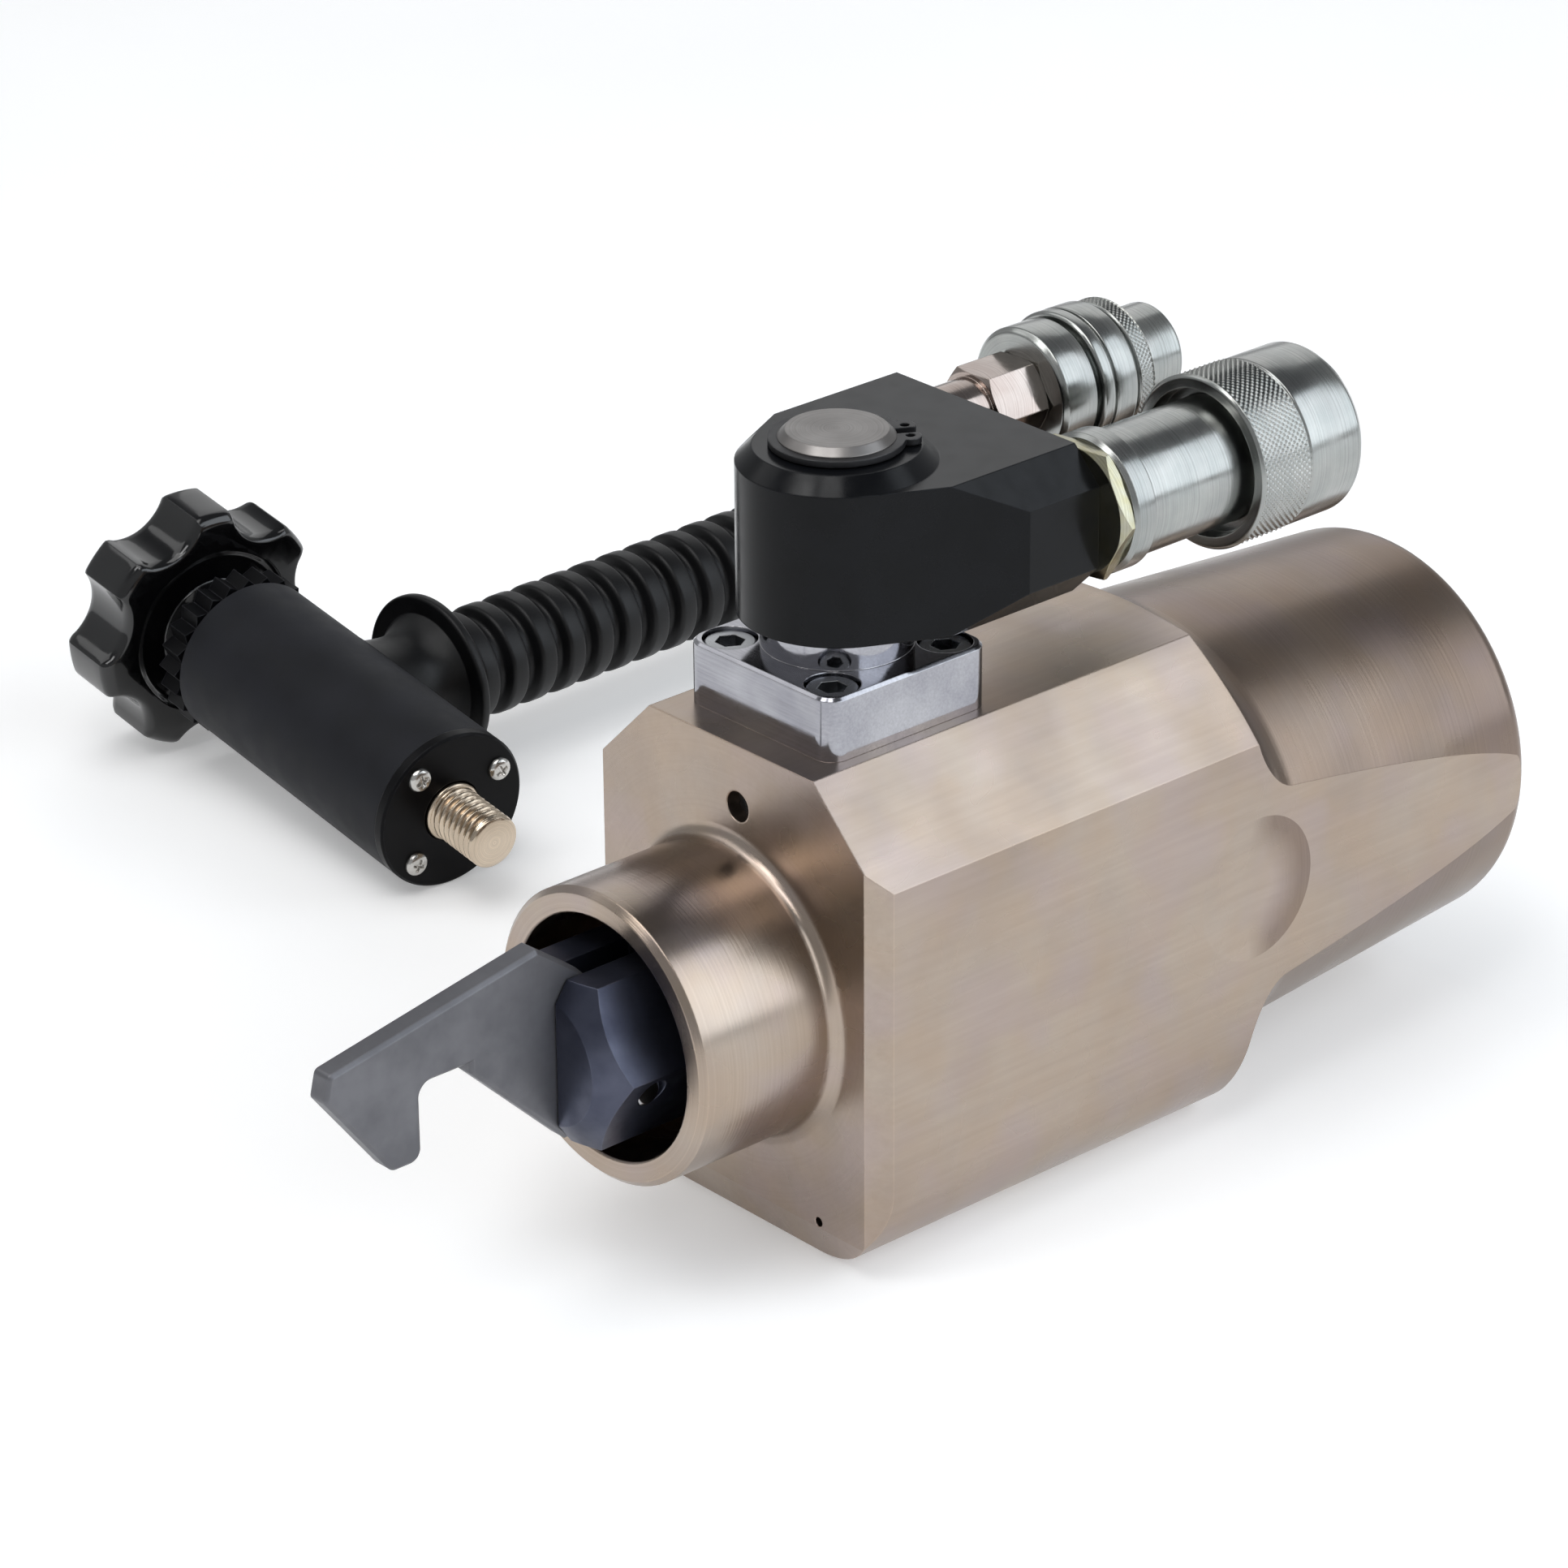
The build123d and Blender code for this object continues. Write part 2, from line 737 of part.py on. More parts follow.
# Swivel post: a ring groove at the top, three seal grooves below it, and two oil ways
seal_stations = [port_z + (i - 1) * seal_pitch - seal_width / 2 for i in range(3)]
with BuildPart() as swivel_post:
    turn(
        [
            (block_height, 0),
            (block_height, post_spigot_radius),
            (flange_boss_z, post_spigot_radius),
            (flange_boss_z, post_radius),
            (post_top_z - post_edge, post_radius),
            (post_top_z, post_radius - post_edge),
            (post_top_z, 0),
        ],
        post_plane,
    )
    tube(
        ring_z - fixed_fit,
        ring_z + ring_thickness + fixed_fit,
        post_radius + 1,
        post_radius - ring_groove_depth,
        post_plane,
        Mode.SUBTRACT,
    )
    for station in seal_stations:
        tube(
            station,
            station + seal_width,
            post_radius + 1,
            post_radius - seal_depth,
            post_plane,
            Mode.SUBTRACT,
        )
    for sense in (-1, 1):
        with BuildSketch(Plane.XY.offset(block_height)):
            with Locations((sense * post_way_offset, 0)):
                Circle(post_way_radius)
        extrude(amount=port_z + sense * seal_pitch / 2 - block_height, mode=Mode.SUBTRACT)
        with BuildSketch(Plane.YZ):
            with Locations((0, port_z + sense * seal_pitch / 2)):
                Circle(post_port_radius)
        extrude(amount=sense * 2 * post_radius, mode=Mode.SUBTRACT)

with BuildPart() as post_seals:
    for station in seal_stations:
        tube(
            station + fixed_fit,
            station + seal_width - fixed_fit,
            post_radius,
            post_radius - seal_depth + fixed_fit,
            post_plane,
        )

with BuildPart() as post_ring:
    with BuildSketch(Plane.XY.offset(ring_z)):
        Circle(post_radius - ring_groove_depth + ring_width)
        with PolarLocations(
            post_radius - ring_groove_depth + ring_width + ring_lug_radius / 3,
            2,
            start_angle=ring_lug_direction - ring_lug_turn,
            angular_range=4 * ring_lug_turn,
        ):
            Circle(ring_lug_radius)
            Circle(ring_hole_radius, mode=Mode.SUBTRACT)
        Circle(post_radius - ring_groove_depth + fixed_fit, mode=Mode.SUBTRACT)
        with PolarLocations(post_radius, 1, start_angle=ring_lug_direction):
            Rectangle(4 * ring_lug_radius, ring_gap, mode=Mode.SUBTRACT)
    extrude(amount=ring_thickness)

# Manifold: round at the front under a tapered boss, flared to a wider back with chamfered sides
with BuildPart() as manifold:
    with BuildSketch(Plane.XY.offset(manifold_z)):
        Circle(manifold_front_radius)
        with Locations((0, (manifold_flare_y + manifold_rear_y) / 2)):
            Rectangle(2 * manifold_half_width, manifold_rear_y - manifold_flare_y)
        make_hull()
    extrude(amount=manifold_height)
    with BuildSketch(Plane.XZ) as manifold_section:
        with Locations((0, manifold_z + manifold_height / 2)):
            Rectangle(2 * manifold_half_width, manifold_height)
        chamfer(manifold_section.vertices(), manifold_chamfer)
    extrude(amount=2 * manifold_rear_y, both=True, mode=Mode.INTERSECT)
    turn(
        [
            (manifold_z + manifold_chamfer, 0),
            (manifold_z + manifold_chamfer, manifold_front_radius),
            (manifold_top_z, manifold_front_radius),
            (boss_top_z, manifold_boss_radius),
            (boss_top_z, 0),
        ],
        post_plane,
    )
    bar(manifold_z - 1, boss_top_z + 1, post_radius + running_fit, post_plane, Mode.SUBTRACT)
    for sense, port_plane in ((1, female_plane), (-1, male_plane)):
        bar(-port_depth, 1, port_radius, port_plane, Mode.SUBTRACT)
        port_end = Vector(sense * port_x, manifold_rear_y - port_depth + 2, port_z)
        post_side = Vector(sense * post_radius / 2, post_radius / 2, port_z + sense * seal_pitch / 2)
        way = post_side - port_end
        with BuildSketch(Plane(origin=port_end, z_dir=way)):
            Circle(passage_radius)
        extrude(amount=way.length, mode=Mode.SUBTRACT)

# Female coupler on the near port
body_start = adapter_hex_length
with BuildPart() as female_adapter:
    hexagon(0, adapter_hex_length, adapter_hex_across, female_plane)
    nut_corners(0, adapter_hex_length, adapter_hex_across, female_plane)
    bar(1 - port_depth, 0, port_radius - fixed_fit, female_plane)
    bar(adapter_hex_length, adapter_hex_length + nipple_length, port_radius - fixed_fit, female_plane)
    bar(-port_depth, adapter_hex_length + nipple_length, nipple_way, female_plane, Mode.SUBTRACT)

with BuildPart() as female_body:
    turn(
        [
            (body_start, 0),
            (body_start, female_ring_radius - 0.8),
            (body_start + 0.8, female_ring_radius),
            (body_start + female_ring_length - 0.8, female_ring_radius),
            (body_start + female_ring_length, female_ring_radius - 0.8),
            (body_start + female_ring_length, female_radius),
            (body_start + female_length - 1, female_radius),
            (body_start + female_length, female_radius - 1),
            (body_start + female_length, 0),
        ],
        female_plane,
    )
    turn(
        [
            (body_start, 0),
            (body_start, port_radius),
            (body_start + nipple_length + end_gap, port_radius),
            (body_start + nipple_length + end_gap, nipple_way),
            (body_start + female_chamber_start, nipple_way),
            (body_start + female_chamber_start, female_chamber_radius),
            (body_start + female_lip_start, female_chamber_radius),
            (body_start + female_lip_start, female_lip_radius),
            (body_start + female_lip_start + female_lip, female_lip_radius),
            (body_start + female_lip_start + female_lip, female_socket_radius),
            (body_start + female_length, female_socket_radius),
            (body_start + female_length, 0),
        ],
        female_plane,
        Mode.SUBTRACT,
    )
    wire_start = body_start + sleeve_start + sleeve_skirt_depth + wire_from_web
    tube(
        wire_start,
        wire_start + wire_width,
        female_radius + 1,
        wire_inner_radius - fixed_fit,
        female_plane,
        Mode.SUBTRACT,
    )

with BuildPart() as sleeve_wire:
    tube(
        wire_start + fixed_fit,
        wire_start + wire_width - fixed_fit,
        wire_outer_radius,
        wire_inner_radius,
        female_plane,
    )

with BuildPart() as female_sleeve:
    sleeve_y = body_start + sleeve_start
    knurl_end = sleeve_y + sleeve_length * sleeve_knurl_share
    turn(
        [
            (sleeve_y, sleeve_skirt_radius),
            (sleeve_y, sleeve_radius - 0.6),
            (sleeve_y + 0.6, sleeve_radius),
            (knurl_end, sleeve_radius),
            (knurl_end + sleeve_relief, sleeve_radius - sleeve_relief),
            (sleeve_y + sleeve_length - sleeve_edge, sleeve_radius - sleeve_relief),
            (sleeve_y + sleeve_length, sleeve_radius - sleeve_relief - sleeve_edge),
            (sleeve_y + sleeve_length, sleeve_thread_radius),
            (sleeve_y + sleeve_skirt_depth + sleeve_web, sleeve_thread_radius),
            (sleeve_y + sleeve_skirt_depth + sleeve_web, female_radius + running_fit),
            (sleeve_y + sleeve_skirt_depth, female_radius + running_fit),
            (sleeve_y + sleeve_skirt_depth, sleeve_skirt_radius),
        ],
        female_plane,
    )
    tube(
        wire_start - 0.3,
        wire_start + wire_width + 0.3,
        wire_outer_radius + 0.3,
        female_radius,
        female_plane,
        Mode.SUBTRACT,
    )

with BuildPart() as female_poppet:
    lip_y = body_start + female_lip_start
    turn(
        [
            (lip_y - end_gap - poppet_flange - poppet_stem_length, 0),
            (lip_y - end_gap - poppet_flange - poppet_stem_length, poppet_stem_radius),
            (lip_y - end_gap - poppet_flange, poppet_stem_radius),
            (lip_y - end_gap - poppet_flange, female_chamber_radius - end_gap),
            (lip_y - end_gap, female_chamber_radius - end_gap),
            (lip_y - end_gap, female_lip_radius - end_gap),
            (lip_y + female_lip - poppet_recess, female_lip_radius - end_gap - 1),
            (lip_y + female_lip - poppet_recess, 0),
        ],
        female_plane,
    )

# Male coupler on the far port, set back on an extension so that the two sleeves clear each other
hex_start = extension_length
male_start = extension_length + extension_hex_length
with BuildPart() as male_adapter:
    hexagon(hex_start, extension_hex_length, extension_hex_across, male_plane)
    nut_corners(hex_start, male_start, extension_hex_across, male_plane)
    bar(1 - port_depth, 0, port_radius - fixed_fit, male_plane)
    bar(0, hex_start, extension_radius, male_plane)
    bar(male_start, male_start + male_nipple_length, port_radius - fixed_fit, male_plane)
    bar(-port_depth, male_start + male_nipple_length, nipple_way, male_plane, Mode.SUBTRACT)

knurl_start = male_body_end
with BuildPart() as male_body:
    turn(
        [
            (male_start, 0),
            (male_start, male_flange_radius - 1),
            (male_start + 1, male_flange_radius),
            (male_start + male_flange_length, male_flange_radius),
            (male_start + male_flange_length, male_radius - male_groove_depth - 1),
            (male_start + male_flange_length + male_groove, male_radius - male_groove_depth - 1),
            (male_start + male_flange_length + male_groove, male_radius - 0.5),
            (male_start + male_flange_length + male_groove + 0.5, male_radius),
            (male_start + male_body_end, male_radius),
            (male_start + male_body_end, male_radius - male_groove_depth),
            (male_start + male_body_end + male_groove, male_radius - male_groove_depth),
            (male_start + male_body_end + male_groove, male_knurl_radius - 0.4),
            (male_start + male_body_end + male_groove + 0.4, male_knurl_radius),
            (male_start + male_body_end + male_knurl_length - 0.4, male_knurl_radius),
            (male_start + male_body_end + male_knurl_length, male_knurl_radius - 0.4),
            (male_start + male_body_end + male_knurl_length, male_nose_radius),
            (male_start + male_length - 1.2, male_nose_radius),
            (male_start + male_length, male_nose_radius - 1.2),
            (male_start + male_length, 0),
        ],
        male_plane,
    )
    line_start = male_start + male_flange_length + male_line_after_flange
    tube(
        line_start,
        line_start + male_groove / 2,
        male_radius + 1,
        male_radius - male_groove_depth / 2,
        male_plane,
        Mode.SUBTRACT,
    )
    lip_start = male_start + male_length - male_lip_from_end
    turn(
        [
            (male_start, 0),
            (male_start, port_radius),
            (male_start + male_nipple_length + end_gap, port_radius),
            (male_start + male_nipple_length + end_gap, nipple_way),
            (male_start + male_nipple_length + 2, nipple_way),
            (male_start + male_nipple_length + 2, male_chamber_radius),
            (lip_start, male_chamber_radius),
            (lip_start, male_lip_radius),
            (lip_start + male_lip, male_lip_radius),
            (lip_start + male_lip, male_mouth_radius),
            (male_start + male_length, male_mouth_radius),
            (male_start + male_length, 0),
        ],
        male_plane,
        Mode.SUBTRACT,
    )

with BuildPart() as male_poppet:
    turn(
        [
            (lip_start - end_gap - poppet_flange - poppet_stem_length, 0),
            (lip_start - end_gap - poppet_flange - poppet_stem_length, poppet_stem_radius),
            (lip_start - end_gap - poppet_flange, poppet_stem_radius),
            (lip_start - end_gap - poppet_flange, male_chamber_radius - end_gap),
            (lip_start - end_gap, male_chamber_radius - end_gap),
            (lip_start - end_gap, male_lip_radius - end_gap),
            (lip_start + male_lip - poppet_recess, male_lip_radius - end_gap - 1),
            (lip_start + male_lip - poppet_recess, 0),
        ],
        male_plane,
    )


def coil_spring(start, end, radius, plane):
    """Round wire coil between two stations of a plane's local x axis."""
    height = end - start - spring_wire * 2
    root = plane.origin + plane.x_dir * (start + spring_wire)
    path = Helix(height / spring_turns, height, radius, center=root, direction=plane.x_dir)
    section_plane = Plane(origin=path @ 0, z_dir=path % 0)
    with BuildSketch(section_plane) as wire:
        Circle(spring_wire)
    sweep(wire.sketch, path=path, is_frenet=True)


with BuildPart() as female_spring:
    coil_spring(
        body_start + female_chamber_start + end_gap,
        lip_y - 2 * end_gap - poppet_flange,
        female_chamber_radius - 2,
        female_plane,
    )

with BuildPart() as male_spring:
    coil_spring(
        male_start + male_nipple_length + 2 + end_gap,
        lip_start - 2 * end_gap - poppet_flange,
        male_chamber_radius - 1.6,
        male_plane,
    )

# Handle head: a thick tube, bored for the stud and for the stem of the grip
with BuildPart() as handle_head:
    turn(
        [
            (-head_length, stud_shank_radius + stud_way),
            (-head_length, head_outer_radius - head_edge),
            (-head_length + head_edge, head_outer_radius),
            (-plate_thickness, head_outer_radius),
            (-plate_thickness, stud_shank_radius + stud_way),
        ],
        head_plane,
    )
    bar(grip_seat, head_outer_radius + 1, grip_stem_radius + fixed_fit, grip_plane, Mode.SUBTRACT)
    with BuildSketch(across_plane(head_plane, -plate_thickness)):
        for angle in plate_screw_angles:
            with PolarLocations(plate_screw_circle, 1, start_angle=angle):
                Circle(plate_screw_radius + fixed_fit)
    extrude(amount=-plate_screw_depth, mode=Mode.SUBTRACT)

with BuildPart() as head_plate:
    turn(
        [
            (-plate_thickness, stud_shank_radius + stud_way),
            (-plate_thickness, head_outer_radius),
            (-plate_edge, head_outer_radius),
            (0, head_outer_radius - plate_edge),
            (0, stud_shank_radius + stud_way),
        ],
        head_plane,
    )
    with BuildSketch(across_plane(head_plane, 0)):
        for angle in plate_screw_angles:
            with PolarLocations(plate_screw_circle, 1, start_angle=angle):
                Circle(plate_screw_radius + fixed_fit)
    extrude(amount=-plate_thickness, mode=Mode.SUBTRACT)

with BuildPart() as plate_screws:
    with BuildSketch(across_plane(head_plane, 0)):
        for angle in plate_screw_angles:
            with PolarLocations(plate_screw_circle, 1, start_angle=angle):
                Circle(plate_screw_head)
    extrude(amount=plate_screw_head_height)
    fillet(plate_screws.faces().filter_by(lambda f: f.normal_at().dot(head_axis) > 0.9).edges(), 0.8)
    with BuildSketch(across_plane(head_plane, 0)):
        for angle in plate_screw_angles:
            with PolarLocations(plate_screw_circle, 1, start_angle=angle):
                Circle(plate_screw_radius)
    extrude(amount=-(plate_thickness + plate_screw_depth - end_gap))

# Toothed ring at the back of the head
with BuildPart() as crown_ring:
    with BuildSketch(across_plane(head_plane, -head_length)):
        with BuildLine():
            Polyline(
                *[
                    Vector(crown_radius if i % 2 == 0 else crown_root_radius, 0).rotate(
                        Axis.Z, i * 180 / crown_teeth
                    )
                    for i in range(2 * crown_teeth)
                ],
                close=True,
            )
        make_face()
        Circle(stud_shank_radius + stud_way, mode=Mode.SUBTRACT)
    extrude(amount=-crown_thickness)

# Knob with seven lobes, turned together with its stud
with BuildPart() as knob:
    with BuildSketch(across_plane(head_plane, -knob_face_station)) as lobes:
        Circle(knob_radius)
        with PolarLocations(knob_valley_centre, knob_lobes, start_angle=knob_phase):
            Circle(knob_valley_radius, mode=Mode.SUBTRACT)
        fillet(lobes.vertices(), knob_lobe_round)
    extrude(amount=-knob_thickness)
    chamfer(knob.edges().filter_by(lambda e: e.length > 1).group_by(Axis.X)[0], knob_edge)
    bar(-knob_face_station, -knob_station, knob_hub_radius, head_plane)
    tube(
        -knob_face_station - knob_dish_depth,
        -knob_face_station,
        knob_dish_radius,
        knob_hub_radius,
        head_plane,
        Mode.SUBTRACT,
    )
    bar(
        -knob_station - knob_seat - end_gap,
        -knob_station,
        stud_shank_radius + fixed_fit,
        head_plane,
        Mode.SUBTRACT,
    )

with BuildPart() as handle_stud:
    turn(
        [
            (-knob_station - knob_seat, 0),
            (-knob_station - knob_seat, stud_shank_radius),
            (stud_collar - 0.4, stud_shank_radius),
            (stud_collar, stud_shank_radius - 0.4),
            (stud_collar, stud_radius),
            (stud_reach - stud_edge, stud_radius),
            (stud_reach, stud_radius - stud_edge),
            (stud_reach, 0),
        ],
        head_plane,
    )

# Grip: a steel stem in the head, a ribbed moulding with its guard, and an end cap
ribs_start = grip_guard_start + grip_guard_thickness + grip_collar_length
ribs_end = grip_length - grip_end_length
grip_rib_pitch = (ribs_end - ribs_start) / grip_rib_count
rib_points = []
for i in range(grip_rib_count):
    rib_start = ribs_start + i * grip_rib_pitch
    rib_points += [
        (rib_start, grip_valley_radius),
        (rib_start + grip_rib_flank, grip_rib_radius),
        (rib_start + grip_rib_pitch - grip_rib_flank - grip_rib_space, grip_rib_radius),
        (rib_start + grip_rib_pitch - grip_rib_space, grip_valley_radius),
    ]

with BuildPart() as grip_stem:
    bar(grip_seat + end_gap, grip_length - grip_end_round, grip_stem_radius, grip_plane)

with BuildPart() as grip_sleeve:
    turn(
        [
            (grip_seat, grip_stem_radius + fixed_fit),
            (grip_seat, grip_neck_radius),
            (grip_waist_at, grip_waist_radius),
            (grip_guard_start, grip_waist_radius + 3),
            (grip_guard_start, grip_guard_radius - 0.5),
            (grip_guard_start + 0.5, grip_guard_radius),
            (grip_guard_start + grip_guard_thickness - 0.5, grip_guard_radius),
            (grip_guard_start + grip_guard_thickness, grip_guard_radius - 0.5),
            (grip_guard_start + grip_guard_thickness, grip_collar_radius),
            (ribs_start, grip_collar_radius),
            *rib_points,
            (ribs_end, grip_valley_radius),
            (ribs_end, grip_stem_radius + fixed_fit),
        ],
        grip_plane,
    )
    bar(-head_length, 0, head_outer_radius + fixed_fit, head_plane, Mode.SUBTRACT)

with BuildPart() as grip_end:
    with BuildSketch(grip_plane) as end_profile:
        with BuildLine():
            Polyline(
                (ribs_end, grip_stem_radius + fixed_fit),
                (ribs_end, grip_end_radius),
                (grip_length, grip_end_radius),
                (grip_length, 0),
                (grip_length - grip_end_round, 0),
                (grip_length - grip_end_round, grip_stem_radius + fixed_fit),
                close=True,
            )
        make_face()
        fillet(end_profile.vertices().sort_by_distance((grip_length, grip_end_radius))[0], grip_end_round)
    revolve(axis=Axis(grip_plane.origin, grip_plane.x_dir))

pieces = {
    "housing": housing,
    "gallery_plug": gallery_plug,
    "end_cap": end_cap,
    "end_cap_seal": end_cap_seal,
    "rod_gland": rod_gland,
    "gland_seal": gland_seal,
    "rod_wiper": rod_wiper,
    "piston": piston,
    "piston_seal": piston_seal,
    "piston_nut": piston_nut,
    "piston_rod": piston_rod,
    "clevis": clevis,
    "hook_pin": hook_pin,
    "hook": hook,
    "swivel_flange": swivel_flange,
    "flange_screws": flange_screws,
    "swivel_post": swivel_post,
    "post_seals": post_seals,
    "post_ring": post_ring,
    "manifold": manifold,
    "female_adapter": female_adapter,
    "female_body": female_body,
    "female_sleeve": female_sleeve,
    "sleeve_wire": sleeve_wire,
    "female_poppet": female_poppet,
    "female_spring": female_spring,
    "male_adapter": male_adapter,
    "male_body": male_body,
    "male_poppet": male_poppet,
    "male_spring": male_spring,
    "handle_head": handle_head,
    "head_plate": head_plate,
    "plate_screws": plate_screws,
    "crown_ring": crown_ring,
    "knob": knob,
    "handle_stud": handle_stud,
    "grip_stem": grip_stem,
    "grip_sleeve": grip_sleeve,
    "grip_end": grip_end,
}

os.makedirs("parts", exist_ok=True)
for name, piece in pieces.items():
    piece.part.label = name
    export_step(piece.part, f"parts/{name}.step")
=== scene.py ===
"""Finishes, fine detail and studio for a hydraulic torque wrench's drive unit and its handle."""

import json
import logging
import math
from abc import ABC, abstractmethod
from collections.abc import Callable, Sequence
from dataclasses import dataclass
from enum import Enum

import bmesh
import bpy
from mathutils import Matrix, Vector

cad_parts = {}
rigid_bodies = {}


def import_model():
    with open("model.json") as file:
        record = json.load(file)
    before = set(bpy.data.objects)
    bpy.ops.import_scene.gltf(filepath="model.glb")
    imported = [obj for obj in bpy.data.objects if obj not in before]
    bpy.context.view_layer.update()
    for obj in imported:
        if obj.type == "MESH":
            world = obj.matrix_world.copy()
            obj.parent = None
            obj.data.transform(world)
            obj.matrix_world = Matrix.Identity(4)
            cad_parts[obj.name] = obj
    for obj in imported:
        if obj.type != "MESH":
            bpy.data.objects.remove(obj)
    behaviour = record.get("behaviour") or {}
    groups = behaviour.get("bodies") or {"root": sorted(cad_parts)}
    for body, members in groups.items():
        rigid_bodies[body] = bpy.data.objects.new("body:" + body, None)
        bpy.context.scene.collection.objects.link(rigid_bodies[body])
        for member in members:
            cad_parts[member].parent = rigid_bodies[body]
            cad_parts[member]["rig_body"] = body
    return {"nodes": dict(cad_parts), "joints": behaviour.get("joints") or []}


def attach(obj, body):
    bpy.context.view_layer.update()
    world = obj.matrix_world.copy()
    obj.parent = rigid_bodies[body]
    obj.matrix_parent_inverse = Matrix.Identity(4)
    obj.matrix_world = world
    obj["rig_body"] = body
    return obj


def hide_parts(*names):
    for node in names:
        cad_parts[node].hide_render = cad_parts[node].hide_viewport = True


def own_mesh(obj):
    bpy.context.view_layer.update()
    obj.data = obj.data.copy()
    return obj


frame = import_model()

log = logging.getLogger("torque_wrench")
MM = 0.001
# Tiny distance, in millimetres, within which two radii count as the same
SAME = 0.01
# Edges sharper than this, in degrees, stay sharp
SHARP_TURN = 38
# Longest share of a side that a softened corner may take
CORNER_SHARE = 0.45
# The share of a noise's range that a soft field, and the shade of tool marks, is stretched from
NOISE_LOW, NOISE_HIGH = 0.34, 0.66
MARK_LOW, MARK_HIGH = 0.3, 0.7
# How far the rounded normal leans away from the plain one where an edge begins, and on its ridge
EDGE_START, EDGE_RIDGE = 0.985, 0.80
# Length of a milling pass and of a grinding scratch, as a multiple of its width
MILLED_STRETCH, GROUND_STRETCH = 25, 90
Profile = list[tuple[float, float]]
Relief = Callable[[float, float, float], float]


def linear(hex_code: str) -> tuple[float, float, float, float]:
    """Turn an sRGB hex colour into Blender's linear colour.

    Args:
        hex_code: Colour such as "#AA9B8E".

    Returns:
        Linear red, green and blue, and an alpha of one.
    """
    parts = [int(hex_code[i : i + 2], 16) / 255 for i in (1, 3, 5)]
    red, green, blue = (c / 12.92 if c <= 0.04045 else ((c + 0.055) / 1.055) ** 2.4 for c in parts)
    return red, green, blue, 1.0


def add_node(
    tree: bpy.types.NodeTree,
    kind: str,
    inputs: dict[str | int, object] | None = None,
    **settings: object,
) -> bpy.types.Node:
    """Add a shader node, choose its settings, and set or link its inputs.

    Args:
        tree: Node tree that gets the node.
        kind: Blender's type name of the node.
        inputs: Value or output socket for each named or numbered input.
        **settings: Properties of the node, such as its operation.

    Returns:
        The new node.
    """
    node = tree.nodes.new(kind)
    for name, value in settings.items():
        setattr(node, name, value)
    for key, value in (inputs or {}).items():
        if isinstance(value, bpy.types.NodeSocket):
            tree.links.new(value, node.inputs[key])
        else:
            node.inputs[key].default_value = value
    return node


def outward(azimuth: float, elevation: float) -> Vector:
    """Point from the object towards a lamp or the camera.

    Args:
        azimuth: Degrees round from the front, towards the right.
        elevation: Degrees above the floor.

    Returns:
        The direction, one long.
    """
    turn, rise = math.radians(azimuth), math.radians(elevation)
    return Vector((math.sin(turn) * math.cos(rise), -math.cos(turn) * math.cos(rise), math.sin(rise)))


@dataclass(frozen=True)
class Axis3:
    """A line in space that turned pieces are built about, in metres."""

    origin: Vector
    direction: Vector
    side: Vector

    @classmethod
    def from_joint(cls, name: str, side: Vector) -> "Axis3":
        """Take the axis of one of the part's joints.

        Args:
            name: Name of a hinge.
            side: Direction in which the angle about the axis is about zero.

        Returns:
            The joint's axis.
        """
        joint = next(j for j in frame["joints"] if j["name"] == name)
        direction = Vector(joint["axis"]).normalized()
        square = (side - direction * side.dot(direction)).normalized()
        return cls(Vector(joint["pos_m"]), direction, square)

    def point(self, along: float, radius: float, angle: float) -> Vector:
        """Place a point given in cylindrical millimetres.

        Args:
            along: Distance along the axis.
            radius: Distance from the axis.
            angle: Angle about the axis, in radians.

        Returns:
            The point, in metres.
        """
        across = self.direction.cross(self.side)
        spoke = self.side * math.cos(angle) + across * math.sin(angle)
        return self.origin + (self.direction * along + spoke * radius) * MM


def stations(start: float, end: float, step: float) -> list[float]:
    """Divide a stretch evenly, with steps no longer than the one given."""
    count = max(1, math.ceil(abs(end - start) / step - 1e-6))
    return [start + (end - start) * i / count for i in range(count + 1)]


def softened(points: Sequence[tuple[float, float]], radius: float, steps: int = 3) -> Profile:
    """Round the corners of an open profile.

    Args:
        points: Corners as (along, radius), in millimetres.
        radius: Largest length taken from each side of a corner.
        steps: Segments in each rounded corner.

    Returns:
        The profile with its corners rounded.
    """
    soft: Profile = [points[0]]
    for before, corner, after in zip(points, points[1:], points[2:]):
        here = Vector(corner)
        back, ahead = Vector(before) - here, Vector(after) - here
        reach = min(radius, back.length * CORNER_SHARE, ahead.length * CORNER_SHARE)
        first, last = here + back.normalized() * reach, here + ahead.normalized() * reach
        for i in range(steps + 1):
            t = i / steps
            spot = first * (1 - t) ** 2 + here * 2 * t * (1 - t) + last * t**2
            soft.append((spot.x, spot.y))
    soft.append(points[-1])
    return soft


def finished_mesh(name: str, points: Sequence[Vector], faces: Sequence[tuple[int, ...]]) -> bpy.types.Mesh:
    """Make a smooth mesh with outward normals, and sharp edges where its faces turn a lot.

    Args:
        name: Name of the mesh.
        points: Corners, in metres.
        faces: Corner numbers of each face.

    Returns:
        The mesh.
    """
    mesh = bpy.data.meshes.new(name)
    mesh.from_pydata([tuple(p) for p in points], [], faces)
    work = bmesh.new()
    work.from_mesh(mesh)
    bmesh.ops.recalc_face_normals(work, faces=work.faces)
    work.to_mesh(mesh)
    work.free()
    mesh.shade_smooth()
    mesh.set_sharp_from_angle(angle=math.radians(SHARP_TURN))
    return mesh


